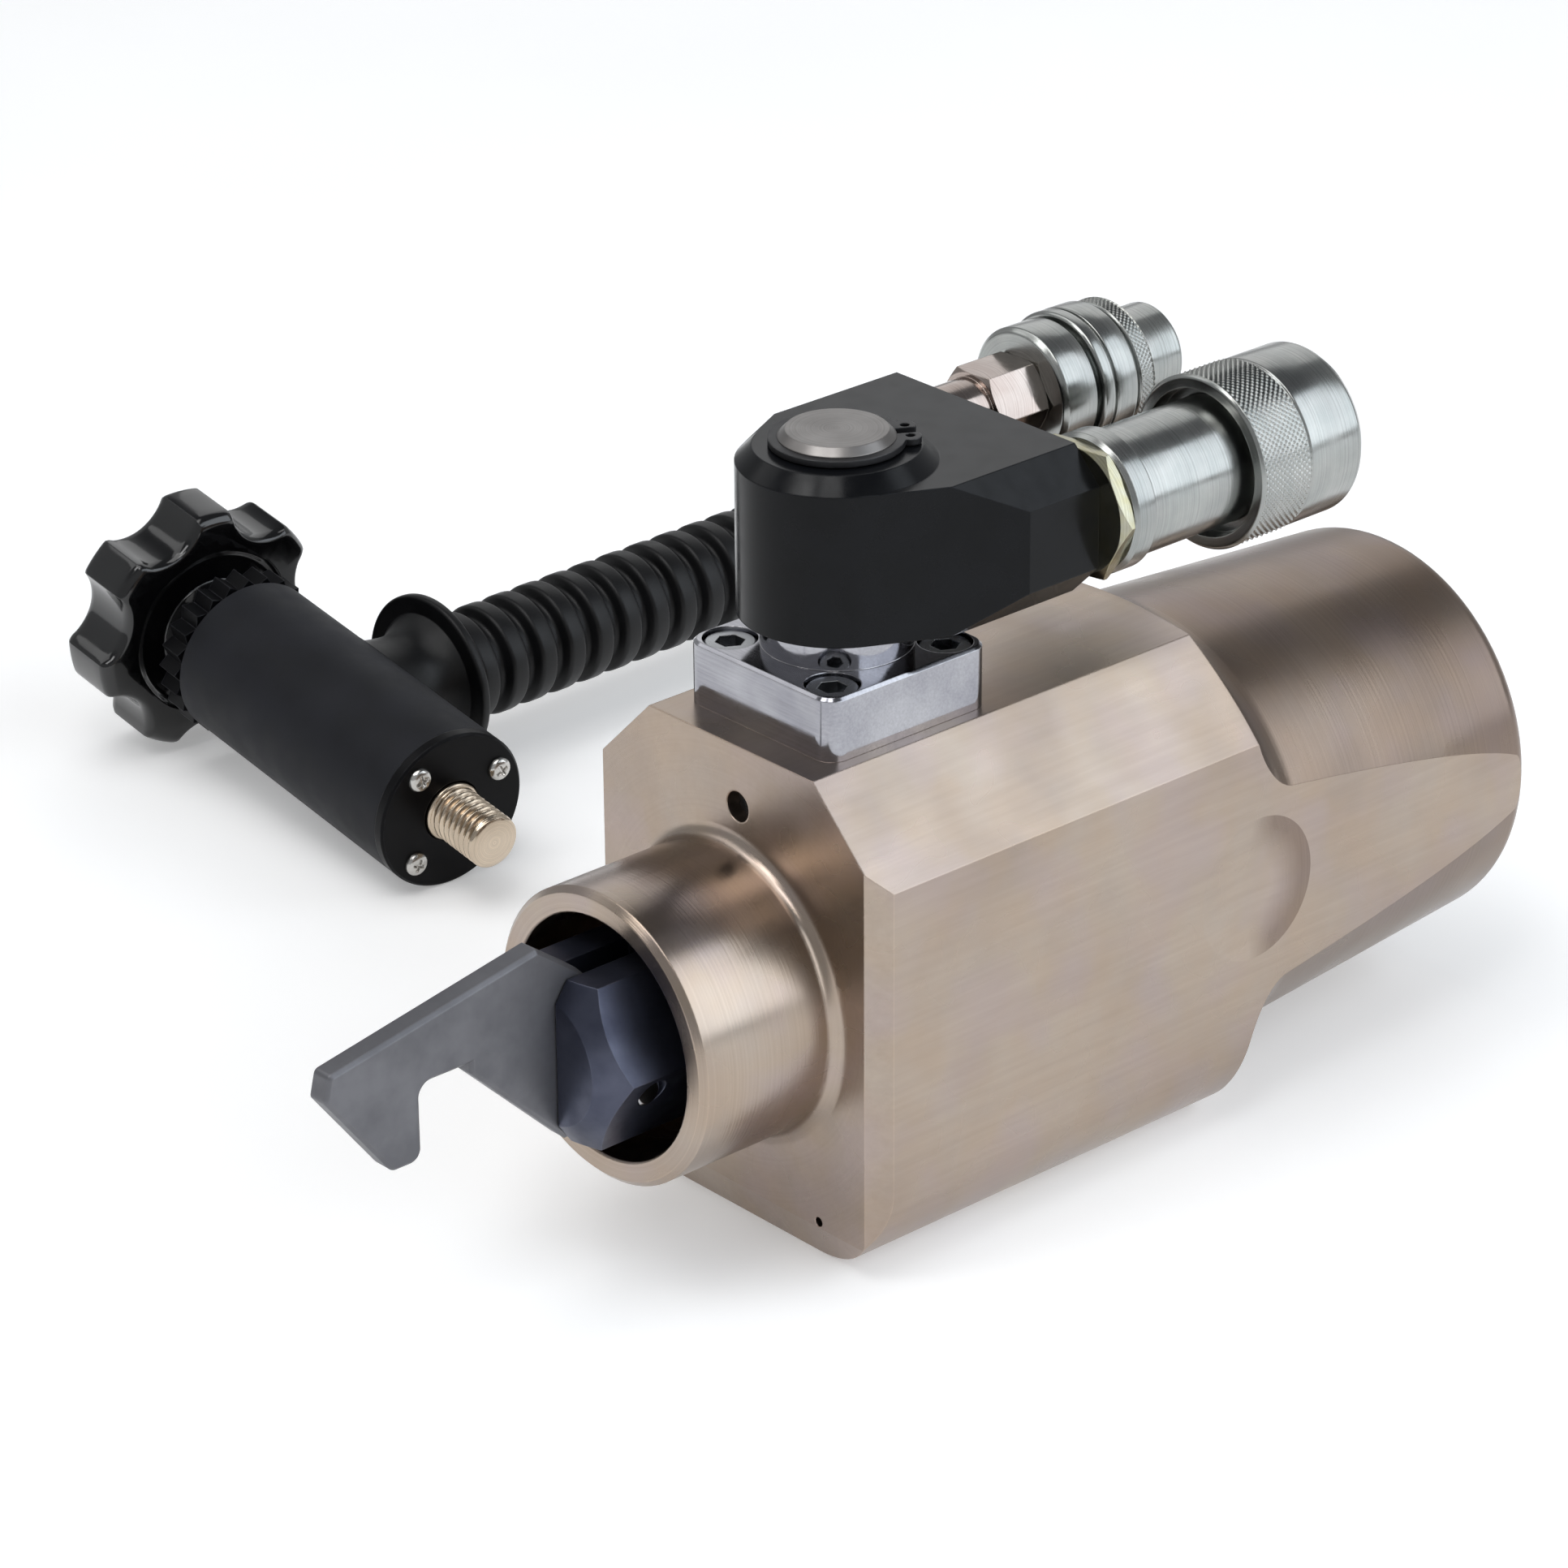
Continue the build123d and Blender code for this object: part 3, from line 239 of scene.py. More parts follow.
@dataclass
class Lathe:
    """Turns a profile about an axis. The skin may carry a knurl, a thread or lobes."""

    axis: Axis3
    segments: int = 96

    def mesh(self, name: str, profile: Profile, relief: Relief | None = None) -> bpy.types.Mesh:
        """Build the turned mesh.

        Args:
            name: Name of the mesh.
            profile: Outline as (along, radius), in millimetres. It starts and ends on the axis, or it is a
                loop round the piece's wall whose last point is joined to its first.
            relief: Height added to the radius, from (along, radius, angle).

        Returns:
            The mesh.
        """
        points: list[Vector] = []
        rings: list[list[int]] = []
        for along, radius in profile:
            if radius < 1e-6:
                rings.append([len(points)])
                points.append(self.axis.point(along, 0, 0))
                continue
            ring = []
            for k in range(self.segments):
                angle = 2 * math.pi * k / self.segments
                height = relief(along, radius, angle) if relief else 0.0
                ring.append(len(points))
                points.append(self.axis.point(along, radius + height, angle))
            rings.append(ring)
        if len(rings[0]) > 1:
            rings.append(rings[0])
        faces: list[tuple[int, ...]] = []
        for low, high in zip(rings, rings[1:]):
            for k in range(self.segments):
                n = (k + 1) % self.segments
                if len(low) == 1:
                    faces.append((low[0], high[n], high[k]))
                elif len(high) == 1:
                    faces.append((low[k], low[n], high[0]))
                else:
                    faces.append((low[k], low[n], high[n], high[k]))
        return finished_mesh(name, points, faces)


@dataclass(frozen=True)
class Knurl:
    """Diamond knurl rolled on a band of a turned piece. Its pitch is as measured along the axis."""

    start: float
    end: float
    radius: float
    pitch: float
    depth: float
    steps: int = 4

    @property
    def diamonds(self) -> int:
        """Number of diamonds round the band."""
        return round(2 * math.pi * self.radius / self.pitch)

    @property
    def segments(self) -> int:
        """Segments that put a mesh line on every ridge and valley."""
        return self.diamonds * self.steps

    def rings(self) -> Profile:
        """Profile points of the band, one for every mesh line."""
        rows = round((self.end - self.start) / self.pitch) * self.steps
        return [(self.start + (self.end - self.start) * i / rows, self.radius) for i in range(rows + 1)]

    def height(self, along: float, radius: float, angle: float) -> float:
        """Depth of the knurl below the band's surface, as a relief."""
        if abs(radius - self.radius) > SAME or not self.start - SAME < along < self.end + SAME:
            return 0.0
        rows = round((self.end - self.start) / self.pitch)
        a = (along - self.start) / (self.end - self.start) * rows
        b = angle / (2 * math.pi) * self.diamonds
        wander = [abs((x + 0.5) % 1 - 0.5) * 2 for x in (a + b, a - b)]
        return -self.depth * (1 - min(wander))


@dataclass(frozen=True)
class Thread:
    """Outer vee thread on a band of a turned piece. Its crests are flat where steepness exceeds one."""

    start: float
    end: float
    radius: float
    pitch: float
    depth: float
    fade: float = 1.0
    steepness: float = 1.25
    depth_at_end: float = 0.3

    def rings(self, steps: int = 8) -> Profile:
        """Profile points of the band, several for every turn of the thread."""
        return [(s, self.radius) for s in stations(self.start, self.end, self.pitch / steps)]

    def height(self, along: float, radius: float, angle: float) -> float:
        """Depth of the thread below its crests, as a relief."""
        if abs(radius - self.radius) > SAME or not self.start - SAME < along < self.end + SAME:
            return 0.0
        turn = (along / self.pitch - angle / (2 * math.pi)) % 1
        vee = min(1.0, abs(2 * turn - 1) * self.steepness)
        near, far = (along - self.start) / self.fade, (self.end - along) / self.fade
        run_out = min(1.0, near, far + self.depth_at_end)
        return -self.depth * (1 - vee) * max(0.0, run_out)


@dataclass(frozen=True)
class Coil:
    """Round wire wound about an axis, between two stations in millimetres."""

    axis: Axis3
    start: float
    end: float
    radius: float
    wire: float = 0.55
    turns: int = 4
    sides: int = 12
    steps: int = 48

    def mesh(self, name: str) -> bpy.types.Mesh:
        """Build the wound mesh, closed at both ends.

        Args:
            name: Name of the mesh.

        Returns:
            The mesh.
        """
        count, sides = self.turns * self.steps, self.sides
        rise = self.end - self.start - 2 * self.wire
        points: list[Vector] = []
        for i in range(count + 1):
            angle = 2 * math.pi * self.turns * i / count
            for k in range(sides):
                spin = 2 * math.pi * k / sides
                along = self.start + self.wire * (1 + math.sin(spin)) + rise * i / count
                points.append(self.axis.point(along, self.radius + self.wire * math.cos(spin), angle))
        faces: list[tuple[int, ...]] = [tuple(range(sides)), tuple(count * sides + k for k in range(sides))]
        for i in range(count):
            low, high = i * sides, (i + 1) * sides
            for k in range(sides):
                n = (k + 1) % sides
                faces.append((low + k, low + n, high + n, high + k))
        return finished_mesh(name, points, faces)


# ---- Finishes ----


class Lay(Enum):
    """How a tool left its marks on a metal face."""

    TURNED = "rings about an axis"
    MILLED = "short straight passes along an axis"
    GROUND = "long straight scratches along an axis"
    BLASTED = "fine pits without direction"


@dataclass
class Skin:
    """A material being made, with its place on the object in millimetres."""

    material: bpy.types.Material
    tree: bpy.types.NodeTree
    shader: bpy.types.Node
    place: bpy.types.NodeSocket

    @classmethod
    def start(cls, name: str) -> "Skin":
        """Begin a material.

        Args:
            name: The material's name.

        Returns:
            The material with its shader and its coordinates.
        """
        material = bpy.data.materials.new(name)
        material.use_nodes = True
        tree = material.node_tree
        coordinates = add_node(tree, "ShaderNodeTexCoord")
        place = add_node(
            tree,
            "ShaderNodeVectorMath",
            {0: coordinates.outputs["Object"], "Scale": 1 / MM},
            operation="SCALE",
        )
        return cls(material, tree, tree.nodes["Principled BSDF"], place.outputs[0])

    def cloud(
        self,
        size_mm: float,
        low: float,
        high: float,
        detail: float = 3.0,
        where: bpy.types.NodeSocket | None = None,
    ) -> bpy.types.NodeSocket:
        """Make a soft random field.

        Args:
            size_mm: Size of its patches.
            low: Lowest value.
            high: Highest value.
            detail: Octaves of finer noise.
            where: Coordinates, when they aren't the plain place.

        Returns:
            The field.
        """
        noise = add_node(
            self.tree,
            "ShaderNodeTexNoise",
            {"Vector": where or self.place, "Scale": 1 / size_mm, "Detail": detail},
        )
        field = add_node(
            self.tree,
            "ShaderNodeMapRange",
            {
                "Value": noise.outputs[0],
                "From Min": NOISE_LOW,
                "From Max": NOISE_HIGH,
                "To Min": low,
                "To Max": high,
            },
        )
        return field.outputs["Result"]

    def blend(
        self, share: bpy.types.NodeSocket, first: object, second: object, mode: str = "MIX"
    ) -> bpy.types.NodeSocket:
        """Mix two colours.

        Args:
            share: How much of the second colour.
            first: First colour, or its socket.
            second: Second colour, or its socket.
            mode: Blender's name for the way of mixing.

        Returns:
            The mixed colour.
        """
        mix = add_node(
            self.tree,
            "ShaderNodeMix",
            {0: share, 6: first, 7: second},
            data_type="RGBA",
            blend_type=mode,
        )
        return mix.outputs[2]

    def shaded(
        self, tone: bpy.types.NodeSocket, marks: bpy.types.NodeSocket, shade: str, most: float
    ) -> bpy.types.NodeSocket:
        """Darken a colour where its tool marks are strong.

        Args:
            tone: The colour.
            marks: Height of the marks, from zero to one.
            shade: Hex colour that the tone is multiplied by.
            most: How much of the shade the strongest marks get.

        Returns:
            The darkened colour.
        """
        share = add_node(
            self.tree,
            "ShaderNodeMapRange",
            {"Value": marks, "From Min": MARK_LOW, "From Max": MARK_HIGH, "To Min": 0.0, "To Max": most},
        )
        return self.blend(share.outputs["Result"], tone, linear(shade), "MULTIPLY")

    def rubbed(
        self, tone: bpy.types.NodeSocket, edge: bpy.types.NodeSocket, patches: bpy.types.NodeSocket, bare: str
    ) -> bpy.types.NodeSocket:
        """Let the bare material show where the edges are rubbed.

        Args:
            tone: The colour.
            edge: Mask of the edges.
            patches: How much each stretch of edge is rubbed.
            bare: Hex colour of the bare material.

        Returns:
            The colour with its worn edges.
        """
        share = add_node(self.tree, "ShaderNodeMath", {0: edge, 1: patches}, operation="MULTIPLY")
        return self.blend(share.outputs[0], tone, linear(bare))

    def lay(self, kind: Lay, axis: Axis3 | None, pitch_mm: float) -> bpy.types.NodeSocket:
        """Draw the marks of a cutting or grinding tool.

        Args:
            kind: How the marks run.
            axis: The line that the marks go round or along.
            pitch_mm: Distance between marks.

        Returns:
            Height of the marks, from zero to one.
        """
        if kind is Lay.BLASTED or axis is None:
            pits = add_node(
                self.tree,
                "ShaderNodeTexNoise",
                {"Vector": self.place, "Scale": 1 / pitch_mm, "Detail": 4.0, "Roughness": 0.7},
            )
            return pits.outputs[0]
        arm = add_node(
            self.tree,
            "ShaderNodeVectorMath",
            {0: self.place, 1: tuple(axis.origin / MM)},
            operation="SUBTRACT",
        )
        along = add_node(
            self.tree,
            "ShaderNodeVectorMath",
            {0: arm.outputs[0], 1: tuple(axis.direction)},
            operation="DOT_PRODUCT",
        )
        shadow = add_node(
            self.tree,
            "ShaderNodeVectorMath",
            {0: tuple(axis.direction), "Scale": along.outputs["Value"]},
            operation="SCALE",
        )
        spoke = add_node(
            self.tree,
            "ShaderNodeVectorMath",
            {0: arm.outputs[0], 1: shadow.outputs[0]},
            operation="SUBTRACT",
        )
        if kind is Lay.TURNED:
            radius = add_node(self.tree, "ShaderNodeVectorMath", {0: spoke.outputs[0]}, operation="LENGTH")
            feed = add_node(
                self.tree, "ShaderNodeMath", {0: along.outputs["Value"], 1: radius.outputs["Value"]}
            )
            rings = add_node(
                self.tree,
                "ShaderNodeTexNoise",
                {"W": feed.outputs[0], "Scale": 1 / pitch_mm, "Detail": 3.0, "Roughness": 0.6},
                noise_dimensions="1D",
            )
            return rings.outputs[0]
        stretch = MILLED_STRETCH if kind is Lay.MILLED else GROUND_STRETCH
        squeezed = add_node(
            self.tree,
            "ShaderNodeVectorMath",
            {0: shadow.outputs[0], 1: (1 / stretch,) * 3, 2: spoke.outputs[0]},
            operation="MULTIPLY_ADD",
        )
        scratches = add_node(
            self.tree,
            "ShaderNodeTexNoise",
            {"Vector": squeezed.outputs[0], "Scale": 1 / pitch_mm, "Detail": 4.0, "Roughness": 0.65},
        )
        return scratches.outputs[0]

    def edges(self, radius_mm: float) -> tuple[bpy.types.NodeSocket, bpy.types.NodeSocket]:
        """Break the sharp edges.

        Args:
            radius_mm: Radius of the broken edge.

        Returns:
            The rounded normal, and a mask that is one on the edges.
        """
        rounded = add_node(self.tree, "ShaderNodeBevel", {"Radius": radius_mm * MM}, samples=6)
        plain = add_node(self.tree, "ShaderNodeNewGeometry")
        turn = add_node(
            self.tree,
            "ShaderNodeVectorMath",
            {0: rounded.outputs[0], 1: plain.outputs["Normal"]},
            operation="DOT_PRODUCT",
        )
        mask = add_node(
            self.tree,
            "ShaderNodeMapRange",
            {"Value": turn.outputs["Value"], "From Min": EDGE_START, "From Max": EDGE_RIDGE},
        )
        return rounded.outputs[0], mask.outputs["Result"]

    def raise_up(
        self, height: bpy.types.NodeSocket, depth_mm: float, normal: bpy.types.NodeSocket
    ) -> bpy.types.NodeSocket:
        """Turn a height into a bumped normal.

        Args:
            height: Height, from zero to one.
            depth_mm: Real height that one stands for.
            normal: Normal below the bumps.

        Returns:
            The bumped normal.
        """
        bump = add_node(
            self.tree, "ShaderNodeBump", {"Height": height, "Distance": depth_mm * MM, "Normal": normal}
        )
        return bump.outputs[0]

    def feed(self, **values: object) -> None:
        """Set or link sockets of the shader, named with underscores for spaces."""
        for key, value in values.items():
            socket = self.shader.inputs[key.replace("_", " ")]
            if isinstance(value, bpy.types.NodeSocket):
                self.tree.links.new(value, socket)
            else:
                socket.default_value = value


@dataclass(frozen=True)
class MetalFinish:
    """Bare or plated metal with the marks of how it was made."""

    name: str
    colour: str
    drift: str
    roughness: float
    lay: Lay
    axis: Axis3 | None = None
    pitch_mm: float = 0.6
    depth_mm: float = 0.006
    patch_mm: float = 14.0
    spread: float = 0.10
    edge_mm: float = 0.3
    stain: str | None = None
    stain_share: float = 0.5
    mark_shade: str = "#5A5650"
    mark_share: float = 0.22
    # Near-white painted highlight, laid soft-light over the edges
    painted_edge_highlight: str = "#F2EEE8"

    def make(self) -> bpy.types.Material:
        """Build the material."""
        skin = Skin.start(self.name)
        tone = skin.blend(
            skin.cloud(self.patch_mm, 0.0, 1.0, 4.0), linear(self.colour), linear(self.drift)
        )
        if self.stain is not None:
            tone = skin.blend(
                skin.cloud(self.patch_mm * 0.45, 0.0, self.stain_share, 5.0), tone, linear(self.stain)
            )
        marks = skin.lay(self.lay, self.axis, self.pitch_mm)
        dulled = skin.shaded(tone, marks, self.mark_shade, self.mark_share)
        normal, edge = skin.edges(self.edge_mm)
        # Painted highlight: the edges are lightened towards a near-white, as if they caught the light
        colour = skin.blend(edge, dulled, linear(self.painted_edge_highlight), "SOFT_LIGHT")
        rough = skin.cloud(
            self.patch_mm * 0.6, self.roughness - self.spread / 2, self.roughness + self.spread / 2, 4.0
        )
        skin.feed(
            Base_Color=colour,
            Metallic=1.0,
            Roughness=rough,
            Normal=skin.raise_up(marks, self.depth_mm, normal),
        )
        return skin.material


@dataclass(frozen=True)
class PlatedBlockFinish:
    """Nickel plated steel of one solid: a milled block, a turned barrel behind it and a turned nose."""

    name: str
    axis: Axis3
    colour: str = "#AEA195"
    drift: str = "#A19388"
    stain: str = "#AE9984"
    bloom: str = "#A99B9A"
    # Painted shade: the barrel's colour is multiplied by this, darker than the block, in place of its dimmer
    # reflections
    turned: str = "#CFCAC8"
    drift_mm: float = 30.0
    stain_mm: float = 13.0
    stain_share: float = 0.4
    bloom_mm: float = 19.0
    bloom_low: float = -0.3
    bloom_share: float = 0.45
    mark_shade: str = "#6A5D52"
    mark_share: float = 0.10
    # Pale painted highlight, laid soft-light over the edges
    painted_edge_highlight: str = "#EFE6DE"
    edge_mm: float = 0.45
    block_roughness: float = 0.29
    barrel_roughness: float = 0.29
    nose_roughness: float = 0.26
    roughness_spread: float = 0.03
    roughness_patch_mm: float = 14.0
    nose_end_mm: float = -26.0
    nose_full_mm: float = -27.5
    barrel_start_mm: float = 70.0
    barrel_full_mm: float = 76.0
    flat_from: float = 0.99
    flat_full: float = 0.998
    grain_pitch_mm: float = 0.5
    grain_depth_mm: float = 0.0008
    pass_pitch_mm: float = 1.6
    pass_depth_mm: float = 0.004
    ring_pitch_mm: float = 0.6
    ring_depth_mm: float = 0.014

    def along(self, skin: Skin, start: float, full: float) -> bpy.types.NodeSocket:
        """Make a mask that rises from zero to one between two stations of the bore, in millimetres."""
        place = add_node(skin.tree, "ShaderNodeSeparateXYZ", {0: skin.place})
        mask = add_node(
            skin.tree,
            "ShaderNodeMapRange",
            {"Value": place.outputs["Y"], "From Min": start, "From Max": full},
        )
        return mask.outputs["Result"]

    def curved(self, skin: Skin) -> bpy.types.NodeSocket:
        """Make a mask that leaves out the flat sides, which run on into the barrel."""
        normal = add_node(skin.tree, "ShaderNodeTexCoord").outputs["Normal"]
        facing = add_node(skin.tree, "ShaderNodeSeparateXYZ", {0: normal})
        sideways = add_node(skin.tree, "ShaderNodeMath", {0: facing.outputs["X"]}, operation="ABSOLUTE")
        mask = add_node(
            skin.tree,
            "ShaderNodeMapRange",
            {"Value": sideways.outputs[0], "From Min": self.flat_full, "From Max": self.flat_from},
        )
        return mask.outputs["Result"]

    def tone(self, skin: Skin, barrel: bpy.types.NodeSocket) -> bpy.types.NodeSocket:
        """Mix the plating's colour.

        Args:
            skin: The material being made.
            barrel: Mask of the barrel, which takes the plating a little darker than the block.

        Returns:
            barrel: Mask of the barrel, whose colour is darkened a little below the block's, as painted shade.
        """
        # Plating clouds: broad beige ones, browner stains and faint pinkish blooms
        drifts = skin.cloud(self.drift_mm, 0.0, 1.0, 4.0)
        stains = skin.cloud(self.stain_mm, 0.0, self.stain_share, 5.0)
        blooms = skin.cloud(self.bloom_mm, self.bloom_low, self.bloom_share, 2.0)
        broad = skin.blend(drifts, linear(self.colour), linear(self.drift))
        stained = skin.blend(stains, broad, linear(self.stain))
        bloomed = skin.blend(blooms, stained, linear(self.bloom))
        # Painted shade: the barrel's colour is multiplied darker than the block's
        return skin.blend(barrel, bloomed, linear(self.turned), "MULTIPLY")

    def roughness(
        self, skin: Skin, barrel: bpy.types.NodeSocket, nose: bpy.types.NodeSocket
    ) -> bpy.types.NodeSocket:
        """Make the roughness of the block, the barrel and the nose, with soft patches in it."""
        block = add_node(
            skin.tree,
            "ShaderNodeMapRange",
            {"Value": barrel, "To Min": self.block_roughness, "To Max": self.barrel_roughness},
        )
        whole = add_node(
            skin.tree, "ShaderNodeMix", {0: nose, 2: block.outputs["Result"], 3: self.nose_roughness}
        )
        spread = self.roughness_spread
        patches = skin.cloud(self.roughness_patch_mm, -spread, spread, 1.0)
        rough = add_node(skin.tree, "ShaderNodeMath", {0: whole.outputs[0], 1: patches}, operation="ADD")
        return rough.outputs[0]

    def make(self) -> bpy.types.Material:
        """Build the material."""
        skin = Skin.start(self.name)
        tree = skin.tree
        nose = self.along(skin, self.nose_end_mm, self.nose_full_mm)
        behind = self.along(skin, self.barrel_start_mm, self.barrel_full_mm)
        barrel = add_node(
            tree, "ShaderNodeMath", {0: behind, 1: self.curved(skin)}, operation="MULTIPLY"
        ).outputs[0]
        turned = add_node(tree, "ShaderNodeMath", {0: barrel, 1: nose}, operation="MAXIMUM").outputs[0]
        passes = skin.lay(Lay.MILLED, self.axis, self.pass_pitch_mm)
        rings = skin.lay(Lay.TURNED, self.axis, self.ring_pitch_mm)
        marks = add_node(tree, "ShaderNodeMix", {0: turned, 2: passes, 3: rings}).outputs[0]
        dulled = skin.shaded(self.tone(skin, barrel), marks, self.mark_shade, self.mark_share)
        normal, edge = skin.edges(self.edge_mm)
        # Bead blasting under the plating, then the passes of the mill or the deeper rings of the lathe
        grain = skin.lay(Lay.BLASTED, None, self.grain_pitch_mm)
        blasted = skin.raise_up(grain, self.grain_depth_mm, normal)
        milled = skin.raise_up(passes, self.pass_depth_mm, blasted)
        ringed = skin.raise_up(rings, self.ring_depth_mm, blasted)
        bent = add_node(tree, "ShaderNodeMix", {0: turned, 4: milled, 5: ringed}, data_type="VECTOR")
        # The base colour gets a painted highlight on its edges, lightened towards a pale beige
        skin.feed(
            Base_Color=skin.blend(edge, dulled, linear(self.painted_edge_highlight), "SOFT_LIGHT"),
            Metallic=1.0,
            Roughness=self.roughness(skin, barrel, nose),
            Normal=bent.outputs[1],
        )
        return skin.material


@dataclass(frozen=True)
class OxideFinish:
    """Metal under a thin dark layer: anodised, blackened, blued or phosphated."""

    name: str
    colour: str
    drift: str
    roughness: float
    metallic: float
    ior: float = 1.5
    grain_mm: float = 0.35
    depth_mm: float = 0.004
    patch_mm: float = 9.0
    spread: float = 0.05
    wear: float = 0.3
    wear_mm: float = 2.5
    bare: str = "#9A9A9C"
    edge_mm: float = 0.35

    def make(self) -> bpy.types.Material:
        """Build the material."""
        skin = Skin.start(self.name)
        tone = skin.blend(skin.cloud(self.patch_mm, 0.0, 1.0, 5.0), linear(self.colour), linear(self.drift))
        normal, edge = skin.edges(self.edge_mm)
        low, high = self.roughness - self.spread, self.roughness + self.spread
        grain = skin.lay(Lay.BLASTED, None, self.grain_mm)
        skin.feed(
            Base_Color=skin.rubbed(tone, edge, skin.cloud(self.wear_mm, 0.0, self.wear, 4.0), self.bare),
            Metallic=self.metallic,
            IOR=self.ior,
            Roughness=skin.cloud(self.patch_mm * 0.5, low, high, 4.0),
            Normal=skin.raise_up(grain, self.depth_mm, normal),
        )
        return skin.material


@dataclass(frozen=True)
class MouldedFinish:
    """Moulded plastic or rubber with the skin of its mould."""

    name: str
    colour: str
    drift: str
    roughness: float
    ior: float = 1.5
    grain_mm: float = 0.4
    depth_mm: float = 0.006
    patch_mm: float = 12.0
    spread: float = 0.04
    coat: float = 0.0
    wear: float = 0.25
    wear_mm: float = 3.0
    bare: str = "#6A6A6C"
    edge_mm: float = 0.4

    def make(self) -> bpy.types.Material:
        """Build the material."""
        skin = Skin.start(self.name)
        tone = skin.blend(skin.cloud(self.patch_mm, 0.0, 1.0, 5.0), linear(self.colour), linear(self.drift))
        normal, edge = skin.edges(self.edge_mm)
        low, high = self.roughness - self.spread, self.roughness + self.spread
        grain = skin.lay(Lay.BLASTED, None, self.grain_mm)
        skin.feed(
            Base_Color=skin.rubbed(tone, edge, skin.cloud(self.wear_mm, 0.0, self.wear, 3.0), self.bare),
            Metallic=0.0,
            IOR=self.ior,
            Coat_Weight=self.coat,
            Roughness=skin.cloud(self.patch_mm * 0.5, low, high, 4.0),
            Normal=skin.raise_up(grain, self.depth_mm, normal),
        )
        return skin.material


# ---- Sub-assemblies ----


class SubAssembly(ABC):
    """A group of pieces that are built and dressed together."""

    @abstractmethod
    def build(self) -> None:
        """Build the pieces that take the place of plain solids."""

    @abstractmethod
    def dress(self) -> None:
        """Give every carried-over solid of the group its material."""

    def place(
        self,
        name: str,
        mesh: bpy.types.Mesh,
        material: bpy.types.Material,
        *nodes: str,
    ) -> bpy.types.Object:
        """Put a mesh in the scene in place of solids, on their body and with their material slot.

        Args:
            name: Name of the piece.
            mesh: Its mesh, in the part's own frame.
            material: Its material.
            *nodes: The solids that it stands for.

        Returns:
            The piece.
        """
        mesh.materials.append(material)
        piece = bpy.data.objects.new(name, mesh)
        bpy.context.scene.collection.objects.link(piece)
        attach(piece, frame["nodes"][nodes[0]]["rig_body"])
        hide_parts(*nodes)
        log.info("piece %s: %d faces, stands for %s", name, len(mesh.polygons), ", ".join(nodes))
        return piece

    def coat(self, material: bpy.types.Material, *nodes: str) -> None:
        """Assign a material to the slots of carried-over solids.

        Args:
            material: The material.
            *nodes: The solids.
        """
        for name in nodes:
            for row in frame["nodes"][name].material_slots:
                row.material = material
            log.info("solid %s: %s", name, material.name)


@dataclass
class DriveUnit(SubAssembly):
    """Housing with its cap, gland and plug, the flange and its screws, and the ram's inner pieces."""

    bore_height: float = 49.2

    @property
    def bore(self) -> Axis3:
        """Axis of the bore, towards the rear."""
        return Axis3(Vector((0, 0, self.bore_height * MM)), Vector((0, 1, 0)), Vector((1, 0, 0)))

    @property
    def swivel(self) -> Axis3:
        """Axis of the swivel post."""
        return Axis3(Vector((0, 0, 0)), Vector((0, 0, 1)), Vector((1, 0, 0)))

    def build(self) -> None:
        """Keep the solids: their shapes are right as they are."""

    def dress(self) -> None:
        """Finish the housing and everything that is fixed to it or slides in it."""
        # Electroless nickel on milled and turned steel: satin and warm, with soft pink and brown clouds
        nickel = PlatedBlockFinish("nickel_plated_steel_blasted", self.bore)
        self.coat(nickel.make(), "housing", "end_cap")
        # Bright steel, faced on a mill and hardly dulled: mirror-like with faint straight passes
        bright = MetalFinish(
            "bright_steel_milled", "#B4B4B9", "#9C9CA3", 0.11, Lay.MILLED, self.swivel_side(), 0.5, 0.003
        )
        self.coat(bright.make(), "swivel_flange")
        # Zinc plated socket screws: cool grey, finely pitted on their heads
        screws = MetalFinish(
            "zinc_plated_steel_turned", "#A9ABAE", "#8F9194", 0.28, Lay.BLASTED, None, 0.4, 0.006
        )
        self.coat(screws.make(), "flange_screws")
        # Ground steel post: satin warm grey end face with fine rings
        ground = MetalFinish(
            "hardened_steel_ground", "#918E8C", "#807D7B", 0.34, Lay.TURNED, self.swivel, 0.35, 0.004
        )
        self.coat(ground.make(), "swivel_post")
        # Blackened steel of the retaining ring, the plug and the nut: near-black, dull shine on the edges
        blackened = OxideFinish("spring_steel_blackened", "#1E1E20", "#2A2A2C", 0.42, 0.5)
        self.coat(blackened.make(), "post_ring", "gallery_plug", "piston_nut")
        # Turned bronze and steel inside the barrel: warm gold and grey, seen only through the nose
        bronze = MetalFinish("bronze_turned", "#A9824E", "#96703F", 0.35, Lay.TURNED, self.bore, 0.3)
        self.coat(bronze.make(), "rod_gland")
        steel = MetalFinish("steel_turned", "#A8A5A0", "#969390", 0.30, Lay.TURNED, self.bore, 0.3)
        self.coat(steel.make(), "piston")
        # Hard chrome on the ram: bright and cool, ground round
        chrome = MetalFinish("steel_hard_chromed", "#CDD0D2", "#C2C5C8", 0.12, Lay.TURNED,
                             self.bore, 0.2, 0.002)
        self.coat(chrome.make(), "piston_rod")
        # Nitrile rubber seals: black, slightly waxy
        rubber = MouldedFinish("nitrile_rubber_moulded", "#161617", "#202021", 0.55, 1.52)
        self.coat(rubber.make(), "end_cap_seal", "gland_seal", "piston_seal", "post_seals")
        # Polyurethane wiper: dark green-grey and satin
        wiper = MouldedFinish("polyurethane_moulded", "#2E3A34", "#36423B", 0.45, 1.5)
        self.coat(wiper.make(), "rod_wiper")

    def swivel_side(self) -> Axis3:
        """Line along which the flange was milled."""
        return Axis3(Vector((0, 0, 0)), Vector((1, 0, 0)), Vector((0, 1, 0)))


